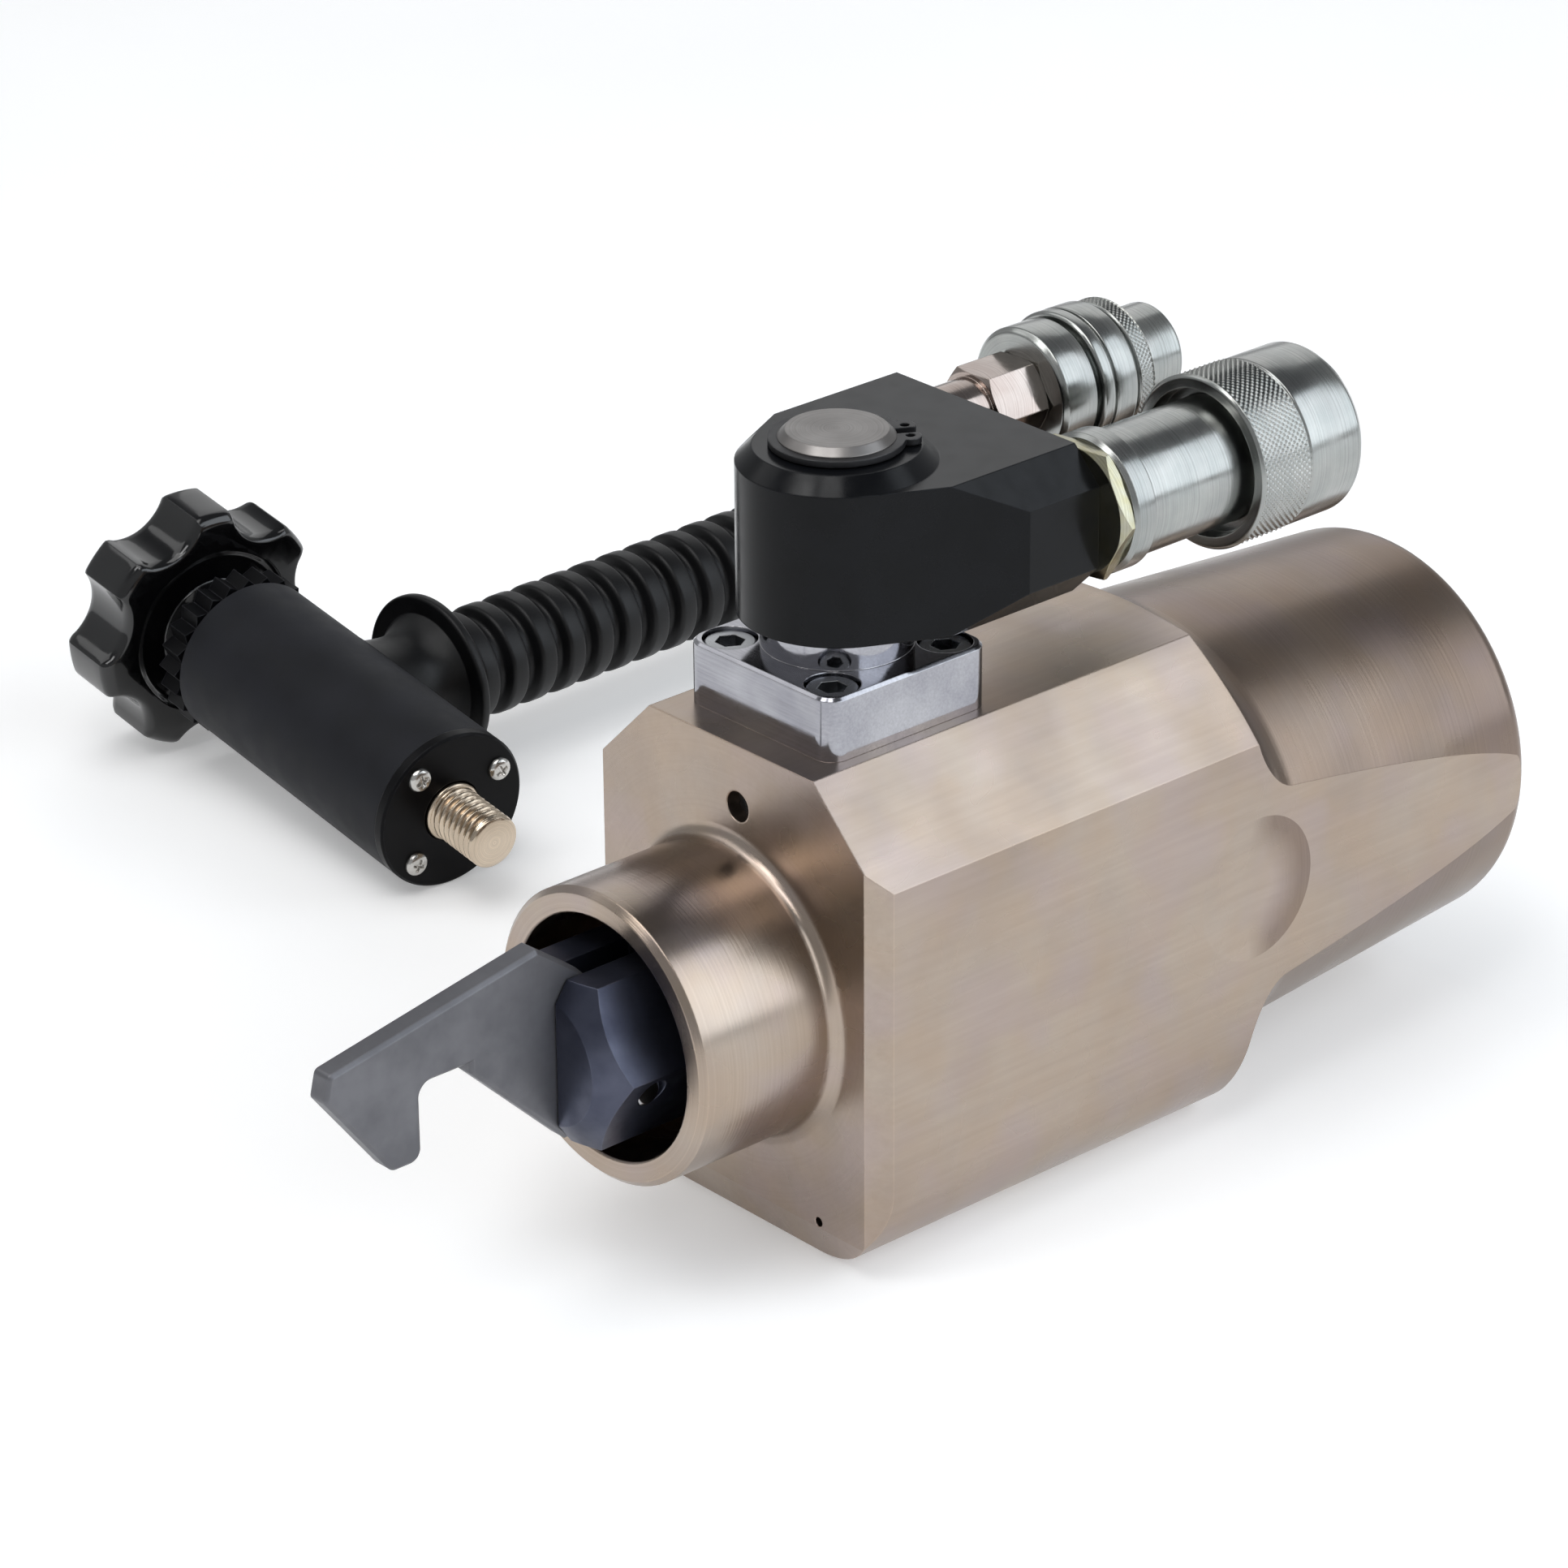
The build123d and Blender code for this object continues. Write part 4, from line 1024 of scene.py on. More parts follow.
@dataclass
class Ram(SubAssembly):
    """Hook, its clevis and pin, at the front of the ram."""

    def build(self) -> None:
        """Keep the solids: their shapes are right as they are."""

    def dress(self) -> None:
        """Finish the hook, the clevis and the pin."""
        # Manganese phosphate on forged steel: matt mid-grey crystals, paler where edges are rubbed
        phosphate = OxideFinish(
            "forged_steel_phosphated",
            "#727276",
            "#66666A",
            0.48,
            0.75,
            grain_mm=0.3,
            depth_mm=0.006,
            wear=0.6,
            bare="#8E8E90",
            edge_mm=0.5,
        )
        self.coat(phosphate.make(), "hook")
        # Heat-blued steel: blue-black, with a soft steel shine on its facets
        blued = OxideFinish(
            "alloy_steel_blued", "#535665", "#404352", 0.36, 0.9, grain_mm=0.3, wear=0.5, bare="#8A8C98"
        )
        self.coat(blued.make(), "clevis")
        # Ground dowel pin: bright, with rings on its ends
        pin = MetalFinish("dowel_steel_ground", "#B8B8BA", "#A6A6A8", 0.22, Lay.BLASTED, None, 0.3, 0.003)
        self.coat(pin.make(), "hook_pin")


@dataclass
class Swivel(SubAssembly):
    """Manifold on the post, with its two hose couplers. Sizes are in millimetres along each coupler."""

    port_station: float = 36.9
    port_side: float = 23.8
    sleeve_start: float = 32.7
    sleeve_length: float = 28.2
    sleeve_radius: float = 17.0
    sleeve_bore: float = 14.4
    skirt_depth: float = 3.6
    web: float = 6.4
    body_bore: float = 12.45
    thread_radius: float = 14.6
    thread_pitch: float = 2.0
    thread_depth: float = 0.8
    thread_crest: float = 1.4
    thread_slope: float = 2.4
    wire_start: float = 38.0
    wire_end: float = 40.0
    wire_radius: float = 13.5
    knurl_share: float = 0.45
    relief: float = 0.3
    end_edge: float = 2.0
    knurl_pitch: float = 1.3
    knurl_depth: float = 0.42
    male_start: float = 31.9
    male_knurl_radius: float = 13.4
    valve_travel: float = 3.0
    female_spring: tuple[float, float, float] = (19.4, 35.5, 5.5)
    male_spring: tuple[float, float, float] = (42.2, 59.4, 4.6)

    @property
    def female(self) -> Axis3:
        """Axis of the near coupler."""
        return Axis3.from_joint("sleeve_spin", Vector((1, 0, 0)))

    @property
    def port(self) -> Axis3:
        """Axis of the near coupler, with its origin on the manifold's rear face."""
        origin = self.female.origin.copy()
        origin.y = self.port_station * MM
        return Axis3(origin, Vector((0, 1, 0)), Vector((1, 0, 0)))

    @property
    def male(self) -> Axis3:
        """Axis of the far coupler, with its origin on the manifold's rear face."""
        origin = self.port.origin.copy()
        origin.x = -self.port_side * MM
        return Axis3(origin, Vector((0, 1, 0)), Vector((1, 0, 0)))

    def zinc(self, name: str, axis: Axis3) -> bpy.types.Material:
        """Make the couplers' clear passivated zinc over turned steel."""
        # Bright zinc over turned steel: silvery, with rings, faint yellow and blue stains
        return MetalFinish(
            name,
            "#B2B3B0",
            "#A2A3A1",
            0.22,
            Lay.TURNED,
            axis,
            0.45,
            0.004,
            patch_mm=12.0,
            stain="#8E9694",
            stain_share=0.35,
        ).make()

    def build(self) -> None:
        """Build the knurled sleeve, the far coupler's grooved body and the valve springs."""
        self.build_sleeve()
        self.build_male_body()
        self.build_springs()

    def build_sleeve(self) -> None:
        """Build the near coupler's sleeve with its diamond knurl and its inner thread."""
        start, end = self.sleeve_start, self.sleeve_start + self.sleeve_length
        knurl_end = start + self.sleeve_length * self.knurl_share
        outer = self.sleeve_radius
        knurl = Knurl(start + 0.7, knurl_end - 0.3, outer, self.knurl_pitch, self.knurl_depth)
        low = softened(
            [
                (start, self.sleeve_bore),
                (start, outer - 0.6),
                (start + 0.55, outer - 0.05),
                (start + 0.7, outer),
            ],
            0.25,
        )
        high = softened(
            [
                (knurl_end - 0.3, outer),
                (knurl_end - 0.05, outer - self.relief - 0.45),
                (knurl_end + 0.35, outer - self.relief - 0.45),
                (knurl_end + 0.6, outer - self.relief),
                (end - self.end_edge, outer - self.relief),
                (end, outer - self.relief - self.end_edge + 0.2),
                (end, self.thread_radius + 0.1),
                (end - 0.4, self.thread_radius),
            ],
            0.35,
        )
        web_end = start + self.skirt_depth + self.web
        inner = [(s, self.thread_radius) for s in stations(end - 0.8, web_end, self.thread_pitch / 4)] + [
            (web_end, self.body_bore),
            (self.wire_end, self.body_bore),
            (self.wire_end, self.wire_radius),
            (self.wire_start, self.wire_radius),
            (self.wire_start, self.body_bore),
            (start + self.skirt_depth, self.body_bore),
            (start + self.skirt_depth, self.sleeve_bore),
        ]

        def relief(along: float, radius: float, angle: float) -> float:
            """Knurl outside, and the hose coupling's thread inside."""
            if abs(radius - self.thread_radius) < 0.005 and web_end + 0.4 < along < end - 0.3:
                turn = (along / self.thread_pitch - angle / (2 * math.pi)) % 1
                vee = self.thread_crest - self.thread_slope * abs(2 * turn - 1)
                return self.thread_depth * max(0.0, min(1.0, vee))
            return knurl.height(along, radius, angle)

        mesh = Lathe(self.port, knurl.segments).mesh(
            "knurled_sleeve", low[:-1] + knurl.rings() + high[1:] + inner, relief
        )
        self.place("knurled_sleeve", mesh, self.zinc("steel_sleeve_zinc_plated", self.port), "female_sleeve")

    def build_male_body(self) -> None:
        """Build the far coupler's body with its grooves and its knurled ring."""
        base = self.male_start
        rim = self.male_knurl_radius
        knurl = Knurl(base + 20.1, base + 23.4, rim, 1.1, 0.32)
        rear = softened(
            [
                (base, 4.9),
                (base, 12.1),
                (base + 1, 13.1),
                (base + 8.4, 13.1),
                (base + 8.4, 11.5),
                (base + 9.6, 11.5),
                (base + 9.6, 13.4),
                (base + 10.1, 13.9),
                (base + 12.4, 13.9),
                (base + 12.4, 13.2),
                (base + 13.0, 13.2),
                (base + 13.0, 13.9),
                (base + 18.4, 13.9),
                (base + 18.4, 12.5),
                (base + 19.6, 12.5),
                (base + 19.6, rim - 0.4),
                (base + 20.0, rim),
                (base + 20.1, rim),
            ],
            0.22,
        )
        front = softened(
            [
                (base + 23.4, rim),
                (base + 23.5, rim),
                (base + 23.8, rim - 0.4),
                (base + 23.8, 9.7),
                (base + 34.5, 9.7),
                (base + 35.7, 8.5),
                (base + 35.7, 6.6),
                (base + 33.1, 6.6),
            ],
            0.25,
        )
        inner = [
            (base + 33.1, 4.6),
            (base + 31.1, 4.6),
            (base + 31.1, 6.2),
            (base + 10.0, 6.2),
            (base + 10.0, 2.4),
            (base + 8.3, 2.4),
            (base + 8.3, 4.9),
        ]
        mesh = Lathe(self.male, knurl.segments).mesh(
            "grooved_coupler_body", rear[:-1] + knurl.rings() + front[1:] + inner, knurl.height
        )
        self.place("grooved_coupler_body", mesh, self.zinc("steel_nose_zinc_plated", self.male), "male_body")

    def build_springs(self) -> None:
        """Build the springs behind the poppets. They are rigid, and are not squeezed as the poppets slide in.
        """
        # Drawn spring wire: dull steel grey, seen down the couplers' mouths
        wire = MetalFinish(
            "spring_steel_drawn", "#8F8F92", "#7F7F82", 0.30, Lay.BLASTED, None, 0.3, 0.003
        ).make()
        for side, axis, (start, end, radius) in (
            ("female", self.port, self.female_spring),
            ("male", self.male, self.male_spring),
        ):
            mesh = Coil(axis, start, end, radius).mesh(f"{side}_valve_coil")
            coil = self.place(f"{side}_valve_coil", mesh, wire, f"{side}_spring")
            axis.point(start, 0, 0)
            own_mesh(coil)
        self.coat(wire, "sleeve_wire")

    def dress(self) -> None:
        """Finish the manifold and the rest of both couplers."""
        # Black anodised aluminium: satin charcoal skin, pale only where an edge is rubbed
        anodised = OxideFinish(
            "aluminium_black_anodised",
            "#0E0F12",
            "#0A0B0D",
            0.20,
            0.0,
            ior=1.25,
            grain_mm=0.25,
            depth_mm=0.002,
            wear=0.10,
            bare="#6A7078",
            edge_mm=0.4,
        )
        self.coat(anodised.make(), "manifold")
        self.coat(self.zinc("steel_body_zinc_plated", self.port), "female_body")
        # Yellow passivated zinc on the near hexagon: silvery with greenish yellow on its edges
        yellow = MetalFinish(
            "steel_zinc_yellow_passivated",
            "#B5B3A2",
            "#9E9C8C",
            0.20,
            Lay.TURNED,
            self.port,
            0.4,
            0.004,
            patch_mm=6.0,
            stain="#A9A272",
            stain_share=0.5,
        )
        self.coat(yellow.make(), "female_adapter")
        # Bright nickel on the far hexagon: rosy and mirror-like
        rosy = MetalFinish(
            "steel_bright_nickel", "#B9AFA9", "#AA9C95", 0.14, Lay.TURNED, self.male, 0.4, 0.003, patch_mm=8.0
        )
        self.coat(rosy.make(), "male_adapter")
        # Turned steel valve pieces, seen down the couplers' mouths
        valve = MetalFinish("steel_valve_turned", "#B6B4B0", "#A5A3A0", 0.22, Lay.TURNED, self.port, 0.3)
        self.coat(valve.make(), "female_poppet", "male_poppet")


@dataclass
class Handle(SubAssembly):
    """Positioning handle lying beside the unit. Stations run along its head from the end plate."""

    grip_turn: float = 91.7
    grip_drop: float = 0.5
    setback: float = 46.4
    head_radius: float = 17.8
    stud_radius: float = 6.0
    shank_radius: float = 6.6
    stud_reach: float = 15.4
    stud_collar: float = 1.0
    stud_end: float = -93.8
    thread_pitch: float = 1.75
    thread_depth: float = 1.05
    screw_circle: float = 13.4
    screw_angles: tuple[float, ...] = (41.5, 139.8, 300.8)
    screw_head: float = 2.7
    screw_height: float = 1.5
    screw_turn: float = 20.0
    screw_turn_step: float = 50.0
    cross_reach: float = 1.5
    cross_half: float = 0.34
    cross_depth: float = 0.75
    cross_wall: float = 0.14
    cross_taper: float = 0.35
    knob_station: float = -83.8
    knob_face: float = -90.5
    knob_thickness: float = 16.4
    knob_radius: float = 28.0
    knob_lobes: int = 7
    knob_phase: float = -26.0
    knob_valley: float = 8.8
    knob_valley_centre: float = 31.6
    knob_valley_slope: float = 2.2
    knob_softening: float = 5.0
    knob_edge: float = 2.6
    dish_radius: float = 18.5
    dish_depth: float = 1.4
    hub_radius: float = 11.0
    knob_bore: float = 6.62
    knob_bore_end: float = -94.1
    grip_seat: float = 8.0
    grip_neck: float = 13.5
    grip_waist: float = 12.0
    grip_waist_at: float = 21.0
    grip_flare: float = 3.0
    guard_start: float = 27.8
    guard_thickness: float = 2.4
    guard_radius: float = 19.0
    collar_radius: float = 13.2
    collar_length: float = 3.4
    rib_radius: float = 12.4
    rib_valley: float = 9.7
    rib_count: int = 12
    rib_flank: float = 0.9
    rib_space: float = 2.2
    ribs_end: float = 133.2
    stem_radius: float = 6.52

    @property
    def grip_direction(self) -> Vector:
        """Direction of the grip, away from the head."""
        turn, drop = math.radians(self.grip_turn), math.radians(self.grip_drop)
        return Vector((math.cos(turn) * math.cos(drop), math.sin(turn) * math.cos(drop), -math.sin(drop)))

    @property
    def head(self) -> Axis3:
        """Axis of the head, towards the stud."""
        joint = next(j for j in frame["joints"] if j["name"] == "knob_spin")
        direction = Vector(joint["axis"]).normalized()
        return Axis3.from_joint("knob_spin", direction.cross(self.grip_direction))

    @property
    def grip(self) -> Axis3:
        """Axis of the grip, from the middle of the head."""
        root = self.head.origin - self.head.direction * self.setback * MM
        return Axis3(root, self.grip_direction, self.grip_direction.cross(self.head.direction).normalized())

    def build(self) -> None:
        """Build the threaded stud, the screws, the knob and the ribbed grip."""
        self.build_stud()
        self.build_screws()
        self.build_knob()
        self.build_grip()

    def build_stud(self) -> None:
        """Build the stud with its metric thread."""
        thread = Thread(
            self.stud_collar, self.stud_reach - 0.5, self.stud_radius, self.thread_pitch, self.thread_depth
        )
        low = softened(
            [
                (self.stud_end, 0),
                (self.stud_end, self.shank_radius),
                (self.stud_collar - 0.4, self.shank_radius),
                (self.stud_collar, self.shank_radius - 0.4),
                (self.stud_collar, self.stud_radius),
            ],
            0.2,
        )
        high = [(self.stud_reach - 0.25, self.stud_radius - 0.4), (self.stud_reach, self.stud_radius - 1.0)]
        profile = low[:-1] + thread.rings() + high + [(self.stud_reach, 0)]
        mesh = Lathe(self.head, 72).mesh("threaded_stud", profile, thread.height)
        # Nickel plated steel, thread rolled: warm, silvery, with bright crests
        nickel = MetalFinish(
            "steel_stud_nickel_plated", "#D8C8B4", "#C6B6A2", 0.22, Lay.TURNED, self.head, 0.3
        )
        self.place("threaded_stud", mesh, nickel.make(), "handle_stud")

    def build_screws(self) -> None:
        """Build three pan head screws with cross recesses."""
        points: list[Vector] = []
        faces: list[tuple[int, ...]] = []
        rings, sides = 22, 64
        for number, angle in enumerate(self.screw_angles):
            centre = self.head.point(0, self.screw_circle, math.radians(angle))
            own = Axis3(centre, self.head.direction, self.head.side)
            turned = math.radians(self.screw_turn + self.screw_turn_step * number)
            base = len(points)
            points.append(own.point(self.screw_height - self.recess(0, 0), 0, 0))
            for i in range(1, rings + 1):
                radius = self.screw_head * i / rings
                for k in range(sides):
                    spin = 2 * math.pi * k / sides
                    flat = Vector((math.cos(spin - turned), math.sin(spin - turned))) * radius
                    fall = 1 - math.sqrt(max(0.0, 1 - (radius / self.screw_head) ** 4))
                    height = self.screw_height * (1 - fall) - self.recess(flat.x, flat.y)
                    points.append(own.point(height, radius, spin))
            for k in range(sides):
                n = (k + 1) % sides
                faces.append((base, base + 1 + k, base + 1 + n))
                for i in range(rings - 1):
                    low, high = base + 1 + i * sides, base + 1 + (i + 1) * sides
                    faces.append((low + k, high + k, high + n, low + n))
            rim = base + 1 + (rings - 1) * sides
            faces.append(tuple(rim + k for k in reversed(range(sides))))
        mesh = finished_mesh("pan_head_screws", points, faces)
        # Zinc plated pan heads: bright against the black plate, dark inside their recesses
        zinc = MetalFinish(
            "steel_screw_zinc_plated", "#D5D3CF", "#BFBDB9", 0.22, Lay.BLASTED, None, 0.3, 0.003
        )
        self.place("pan_head_screws", mesh, zinc.make(), "plate_screws")

    def recess(self, x: float, y: float) -> float:
        """Depth of a screw's cross recess at a point of its head, in millimetres."""
        arms = []
        for a, b in ((x, y), (y, x)):
            across = min(1.0, max(0.0, (self.cross_half - abs(b)) / self.cross_wall + 0.5))
            length = min(1.0, max(0.0, (self.cross_reach - abs(a)) / self.cross_taper))
            arms.append(across * length)
        return self.cross_depth * max(arms)

    def lobe_radius(self, angle: float) -> float:
        """Radius of the knob's outline at an angle.

        Args:
            angle: Angle about the head's axis, in radians.

        Returns:
            Radius in millimetres, with the lobes' corners rounded.
        """
        share = 2 * math.pi / self.knob_lobes
        swing = (angle - math.radians(self.knob_phase) + share / 2) % share - share / 2
        side = self.knob_valley_centre * math.sin(swing)
        if abs(side) >= self.knob_valley:
            past = abs(side) - self.knob_valley
            valley = self.knob_radius + past * self.knob_valley_slope + self.valley_rim()
        else:
            valley = self.knob_valley_centre * math.cos(swing) - math.sqrt(self.knob_valley**2 - side**2)
        # Smooth minimum of the outline and the valley, whose corner goes a quarter of the softening deep
        soft = self.knob_softening
        gap = max(soft - abs(self.knob_radius - valley), 0.0) / soft
        return min(self.knob_radius, valley) - gap * gap * soft * 0.25

    def valley_rim(self) -> float:
        """How far past the outline a valley's circle would reach at its widest."""
        return math.sqrt(self.knob_valley_centre**2 - self.knob_valley**2) - self.knob_radius

    def build_knob(self) -> None:
        """Build the lobed knob with rounded rims, a dish and its hub."""
        face, back = self.knob_face, self.knob_face - self.knob_thickness
        rim, edge = self.knob_radius, self.knob_edge
        corner = [
            (face - edge * (1 - math.cos(a)), rim - edge * (1 - math.sin(a)))
            for a in [math.pi / 2 * i / 8 for i in range(9)]
        ]
        front = softened(
            [
                (self.knob_bore_end, 0),
                (self.knob_bore_end, self.knob_bore),
                (self.knob_station, self.knob_bore),
                (self.knob_station, self.hub_radius),
                (face - self.dish_depth, self.hub_radius + 0.6),
                (face - self.dish_depth, self.dish_radius - 0.8),
                (face, self.dish_radius + 0.6),
                (face, rim - edge),
            ],
            0.7,
        )
        far = [(back + (face - s), r) for s, r in reversed(corner)]
        middle = [(s, rim) for s in stations(face - edge, back + edge, 2.4)]
        tail = [(back, rim - edge - 4), (back, rim - edge - 9), (back, 8), (back, 0)]
        profile = front[:-1] + corner + middle[1:-1] + far + tail

        def relief(along: float, radius: float, angle: float) -> float:
            """Lobes, which fade out towards the dish."""
            if radius <= self.dish_radius:
                return 0.0
            share = (radius - self.dish_radius) / (rim - self.dish_radius)
            return (self.lobe_radius(angle) - rim) * share

        mesh = Lathe(self.head, 252).mesh("lobed_knob", profile, relief)
        # Phenolic, compression moulded and polished: deep black gloss with a faint ripple
        phenolic = MouldedFinish(
            "phenolic_moulded_gloss", "#060607", "#0B0B0C", 0.12, 1.55, grain_mm=3.0, depth_mm=0.01, coat=0.2
        )
        self.place("lobed_knob", mesh, phenolic.make(), "knob")

    def build_grip(self) -> None:
        """Build the grip's ribbed moulding, which starts in a saddle on the head."""
        ribs_start = self.guard_start + self.guard_thickness + self.collar_length
        pitch = (self.ribs_end - ribs_start) / self.rib_count
        neck = [
            (s, self.grip_waist + (self.grip_neck - self.grip_waist) * (1 - self.ease(s)))
            for s in stations(self.grip_seat, self.grip_waist_at, 0.8)
        ]
        length = self.guard_start - self.grip_waist_at
        flare = [
            (s, self.grip_waist + self.grip_flare * ((s - self.grip_waist_at) / length) ** 2)
            for s in stations(self.grip_waist_at, self.guard_start, 0.8)
        ]
        end = self.guard_start + self.guard_thickness
        guard = softened(
            [
                flare[-1],
                (self.guard_start, self.guard_radius),
                (end, self.guard_radius),
                (end, self.collar_radius),
                (ribs_start - 0.2, self.collar_radius),
                (ribs_start, self.rib_valley),
            ],
            0.9,
            5,
        )
        corners: Profile = []
        for number in range(self.rib_count):
            first = ribs_start + number * pitch
            last = first + pitch - self.rib_space
            corners += [
                (first, self.rib_valley),
                (first + self.rib_flank, self.rib_radius),
                (last - self.rib_flank, self.rib_radius),
                (last, self.rib_valley),
            ]
        ribs = softened(corners + [(self.ribs_end - 0.05, self.rib_valley)], 0.8, 4)
        profile = neck + flare[1:] + guard[1:] + ribs[1:]
        profile += [(self.ribs_end, self.stem_radius + 0.1), (self.grip_seat, self.stem_radius + 0.1)]
        mesh = Lathe(self.grip, 96).mesh("ribbed_grip", profile)
        for vertex in mesh.vertices:
            vertex.co += self.grip_direction * self.lift_off_head(vertex.co)
        # Soft PVC grip, dip moulded: matt black with a fine leathery grain
        pvc = MouldedFinish("pvc_moulded_matt", "#070708", "#0C0C0E", 0.40, 1.35, grain_mm=0.5, depth_mm=0.02)
        self.place("ribbed_grip", mesh, pvc.make(), "grip_sleeve")

    def ease(self, station: float) -> float:
        """Smooth step from the grip's neck to its waist."""
        t = (station - self.grip_seat) / (self.grip_waist_at - self.grip_seat)
        return t * t * (3 - 2 * t)

    def lift_off_head(self, spot: Vector) -> float:
        """Distance that a point of the grip moves out along the grip to clear the head.

        Args:
            spot: The point, in metres.

        Returns:
            Distance in metres, zero for a point that is clear.
        """
        along = self.head.direction
        arm = spot - self.head.origin
        arm = arm - along * arm.dot(along)
        way = self.grip_direction - along * self.grip_direction.dot(along)
        limit = (self.head_radius + 0.05) * MM
        if arm.length >= limit:
            return 0.0
        a, b, c = way.dot(way), 2 * arm.dot(way), arm.dot(arm) - limit**2
        return (-b + math.sqrt(b * b - 4 * a * c)) / (2 * a)

    def dress(self) -> None:
        """Finish the head, its plate and ring, and the grip's stem and end."""
        # Textured black powder coat on the tube: soft, slightly pebbled, lit to dark grey
        powder = MouldedFinish(
            "steel_tube_powder_coated", "#17181C", "#1F2025", 0.58, 1.28, grain_mm=0.6, depth_mm=0.012
        )
        self.coat(powder.make(), "handle_head", "grip_end")
        # Black oxidised end plate and toothed ring: dark, a little shinier than the tube
        plate = OxideFinish(
            "steel_plate_black_oxidised", "#08080A", "#0D0D0F", 0.36, 0.0, ior=1.2, wear=0.35, bare="#6E7076"
        )
        self.coat(plate.make(), "head_plate", "crown_ring")
        # Drawn steel stem inside the grip
        stem = MetalFinish("steel_stem_drawn", "#9A9894", "#8A8884", 0.32, Lay.GROUND, self.grip, 0.4)
        self.coat(stem.make(), "grip_stem")


# ---- Studio ----


@dataclass(frozen=True)
class Softbox:
    """A large soft lamp, aimed at the object."""

    name: str
    azimuth: float
    elevation: float
    distance: float
    width: float
    height: float
    power: float
    tint: str = "#FFFFFF"

    def hang(self, aim: Vector) -> None:
        """Put the lamp in the scene.

        Args:
            aim: The point it faces, in metres.
        """
        back = outward(self.azimuth, self.elevation)
        lamp = bpy.data.lights.new(self.name, "AREA")
        lamp.shape = "RECTANGLE"
        lamp.size, lamp.size_y = self.width, self.height
        lamp.energy = self.power
        lamp.color = linear(self.tint)[:3]
        piece = bpy.data.objects.new(self.name, lamp)
        piece.location = aim + back * self.distance
        piece.rotation_euler = back.to_track_quat("Z", "Y").to_euler()
        bpy.context.scene.collection.objects.link(piece)
        log.info("lamp %s: %.1f W", self.name, self.power)


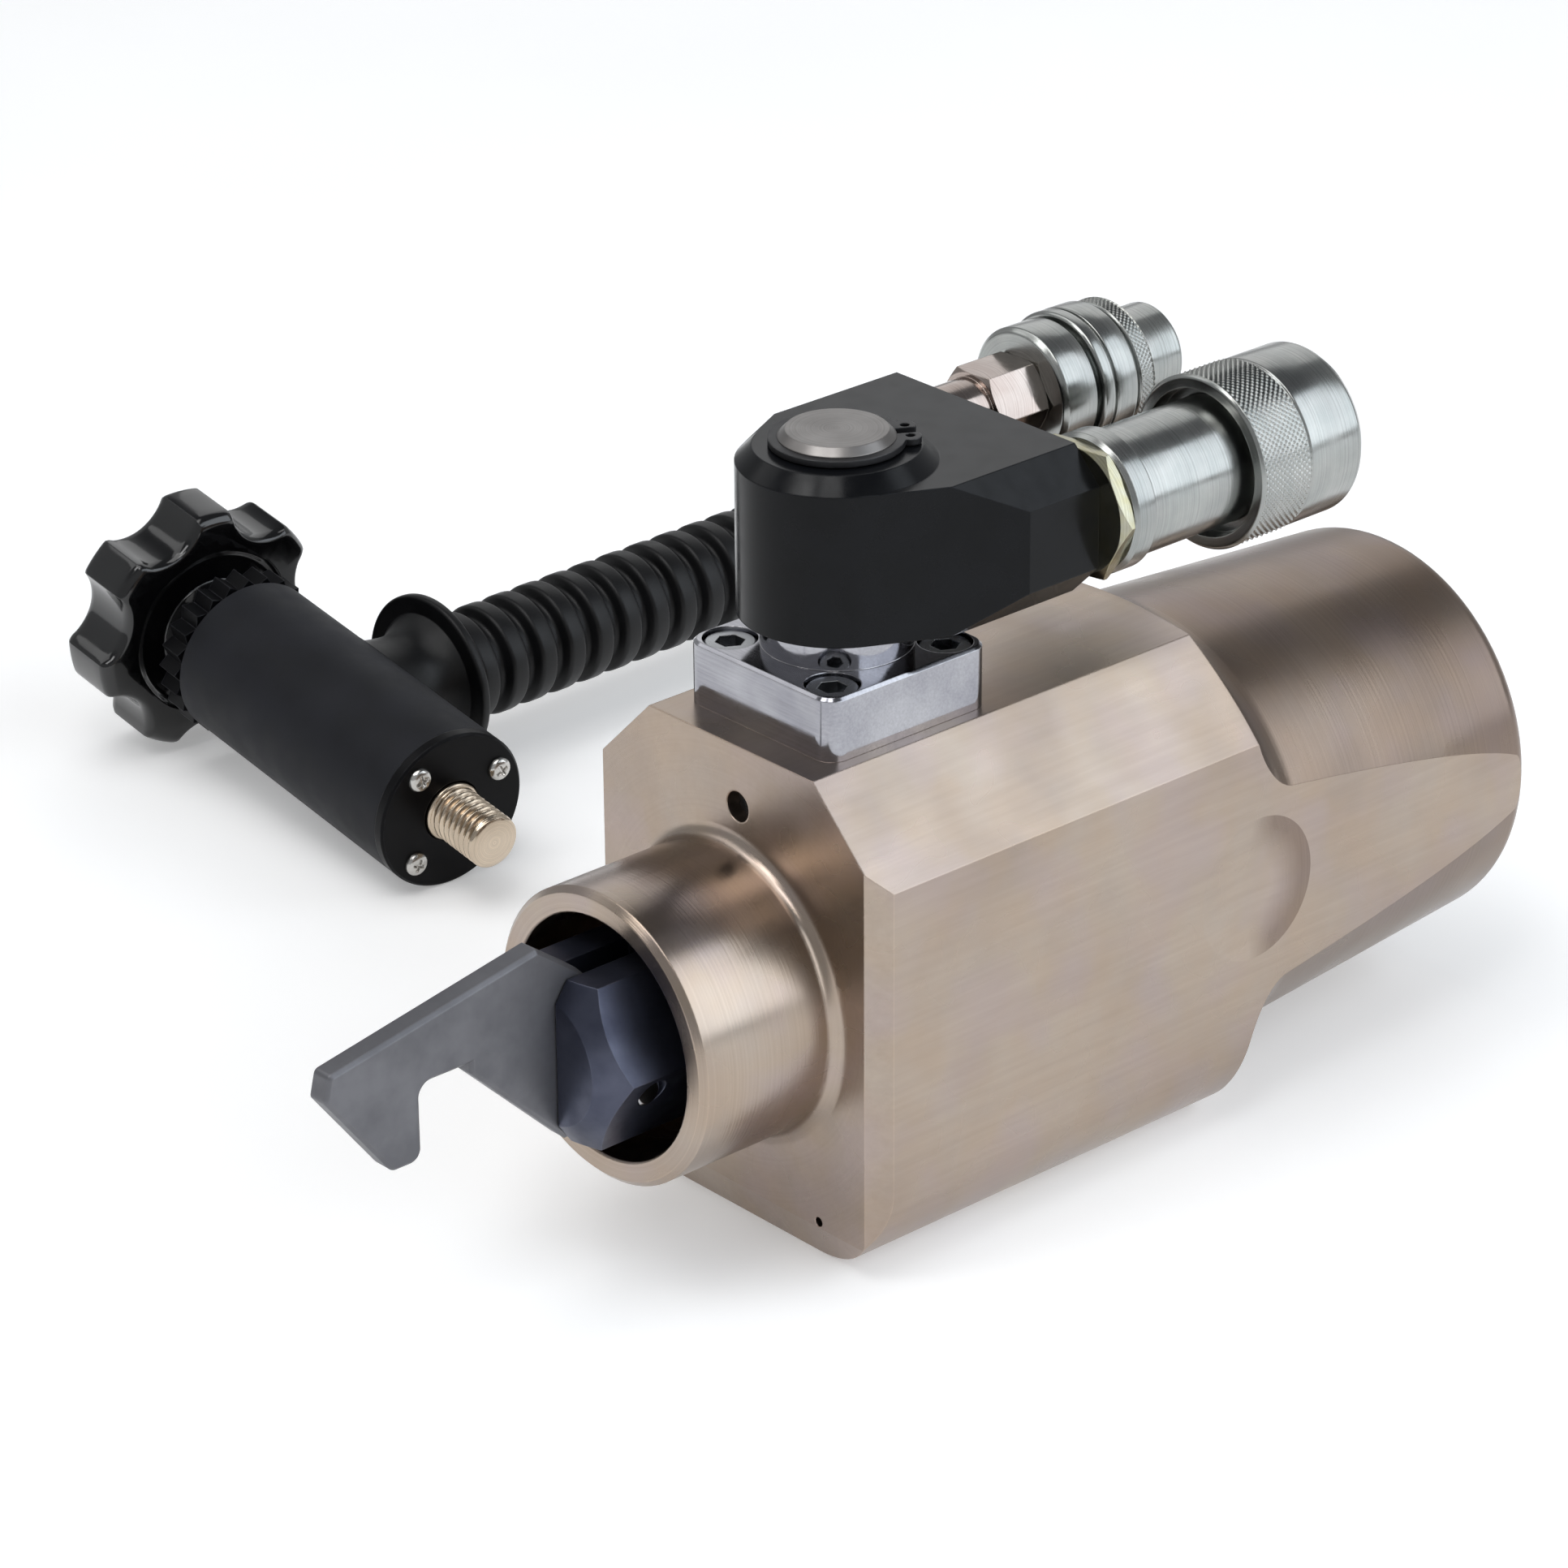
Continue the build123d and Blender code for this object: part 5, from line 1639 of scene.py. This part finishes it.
@dataclass
class Studio:
    """Floor, soft lamps, world and camera."""

    azimuth: float = 48.3590
    elevation: float = 25.4053
    roll: float = -0.44056
    distance: float = 1.15655
    slide: float = -0.03303
    lift: float = 0.02179
    focal_mm: float = 138.70
    sensor_mm: float = 36.0
    aim: tuple[float, float, float] = (0.0, 0.03052, 0.0476)
    floor_half: float = 6.0
    floor_glow: float = 0.27
    floor_colour: str = "#F6F6F6"
    floor_drift: str = "#F3F3F3"
    sky_low: str = "#DADCDE"
    sky_high: str = "#888A8E"
    sky_dims_from: float = 0.55
    sky_dim_at: float = 0.75
    sky_strength: float = 0.6

    def set_camera(self) -> None:
        """Put the camera where the photograph was taken from."""
        turn, roll = math.radians(self.azimuth), math.radians(self.roll)
        back = outward(self.azimuth, self.elevation)
        level = Vector((math.cos(turn), math.sin(turn), 0))
        upright = back.cross(level)
        right = level * math.cos(roll) + upright * math.sin(roll)
        up = upright * math.cos(roll) - level * math.sin(roll)
        camera = bpy.data.objects.new("camera", bpy.data.cameras.new("camera"))
        camera.data.lens = self.focal_mm
        camera.data.sensor_width = self.sensor_mm
        spot = Vector(self.aim) + back * self.distance + right * self.slide + up * self.lift
        turned = Matrix((right, up, back)).transposed().to_4x4()
        camera.matrix_world = Matrix.Translation(spot) @ turned
        bpy.context.scene.collection.objects.link(camera)
        bpy.context.scene.camera = camera

    def lay_floor(self) -> None:
        """Lay the pale floor, which keeps the shadows and reads white where it is fully lit."""
        mesh = bpy.data.meshes.new("paper_floor")
        half = self.floor_half
        corners = [(-half, -half, 0), (half, -half, 0), (half, half, 0), (-half, half, 0)]
        mesh.from_pydata(corners, [], [(0, 1, 2, 3)])
        floor = bpy.data.objects.new("paper_floor", mesh)
        bpy.context.scene.collection.objects.link(floor)
        # Matt white paper: no shine, and lifted a little where the camera or a reflection sees it
        skin = Skin.start("paper_sweep_matt")
        tone = skin.blend(
            skin.cloud(120.0, 0.0, 1.0), linear(self.floor_colour), linear(self.floor_drift)
        )
        skin.feed(Base_Color=tone, Roughness=0.9, IOR=1.3)
        path = add_node(skin.tree, "ShaderNodeLightPath")
        seen = add_node(
            skin.tree,
            "ShaderNodeMath",
            {0: path.outputs["Is Camera Ray"], 1: path.outputs["Is Glossy Ray"]},
            operation="MAXIMUM",
        )
        through = add_node(
            skin.tree,
            "ShaderNodeMath",
            {0: seen.outputs[0], 1: path.outputs["Is Transmission Ray"]},
            operation="MAXIMUM",
        )
        lift = add_node(
            skin.tree, "ShaderNodeMath", {0: through.outputs[0], 1: self.floor_glow}, operation="MULTIPLY"
        )
        glow = add_node(
            skin.tree, "ShaderNodeEmission", {"Color": linear("#FFFFFF"), "Strength": lift.outputs[0]}
        )
        mixed = add_node(skin.tree, "ShaderNodeAddShader", {0: skin.shader.outputs[0], 1: glow.outputs[0]})
        skin.tree.links.new(mixed.outputs[0], skin.tree.nodes["Material Output"].inputs["Surface"])
        mesh.materials.append(skin.material)

    def light(self) -> None:
        """Hang the lamps, and set the world's soft grey, which is darker overhead."""
        aim = Vector(self.aim)
        for lamp in (
            Softbox("right_softbox", 115.5, 29.5, 1.6, 2.05, 1.5, 18.6, "#EFF7FF"),
            Softbox("overhead_softbox", 330.0, 80.0, 1.3, 0.8, 0.8, 4.0),
            Softbox("front_left_softbox", 345.0, 56.0, 1.4, 0.36, 0.55, 2.6),
            Softbox("front_right_softbox", 35.0, 62.0, 1.4, 0.36, 0.55, 2.4),
            Softbox("left_softbox", 295.0, 50.0, 1.5, 0.6, 0.9, 1.8),
            Softbox("rear_softbox", 220.0, 29.0, 1.7, 1.0, 1.1, 2.2),
        ):
            lamp.hang(aim)
        world = bpy.data.worlds.new("studio")
        bpy.context.scene.world = world
        world.use_nodes = True
        tree = world.node_tree
        background = tree.nodes["Background"]
        direction = add_node(tree, "ShaderNodeTexCoord")
        height = add_node(tree, "ShaderNodeSeparateXYZ", {0: direction.outputs["Generated"]})
        ramp = add_node(
            tree,
            "ShaderNodeMapRange",
            {"Value": height.outputs["Z"], "From Min": self.sky_dims_from, "From Max": self.sky_dim_at},
        )
        tone = add_node(
            tree,
            "ShaderNodeMix",
            {0: ramp.outputs["Result"], 6: linear(self.sky_low), 7: linear(self.sky_high)},
            data_type="RGBA",
        )
        tree.links.new(tone.outputs[2], background.inputs["Color"])
        background.inputs["Strength"].default_value = self.sky_strength

    def make(self) -> None:
        """Build the whole studio."""
        bpy.context.scene.view_settings.view_transform = "Standard"
        self.set_camera()
        self.lay_floor()
        self.light()


def main() -> None:
    """Build and dress each sub-assembly, then the studio."""
    logging.basicConfig(level=logging.INFO, format="%(name)s: %(message)s")
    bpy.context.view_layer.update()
    for group in (DriveUnit(), Ram(), Swivel(), Handle()):
        group.build()
        group.dress()
    Studio().make()


if __name__ == "__main__":
    main()
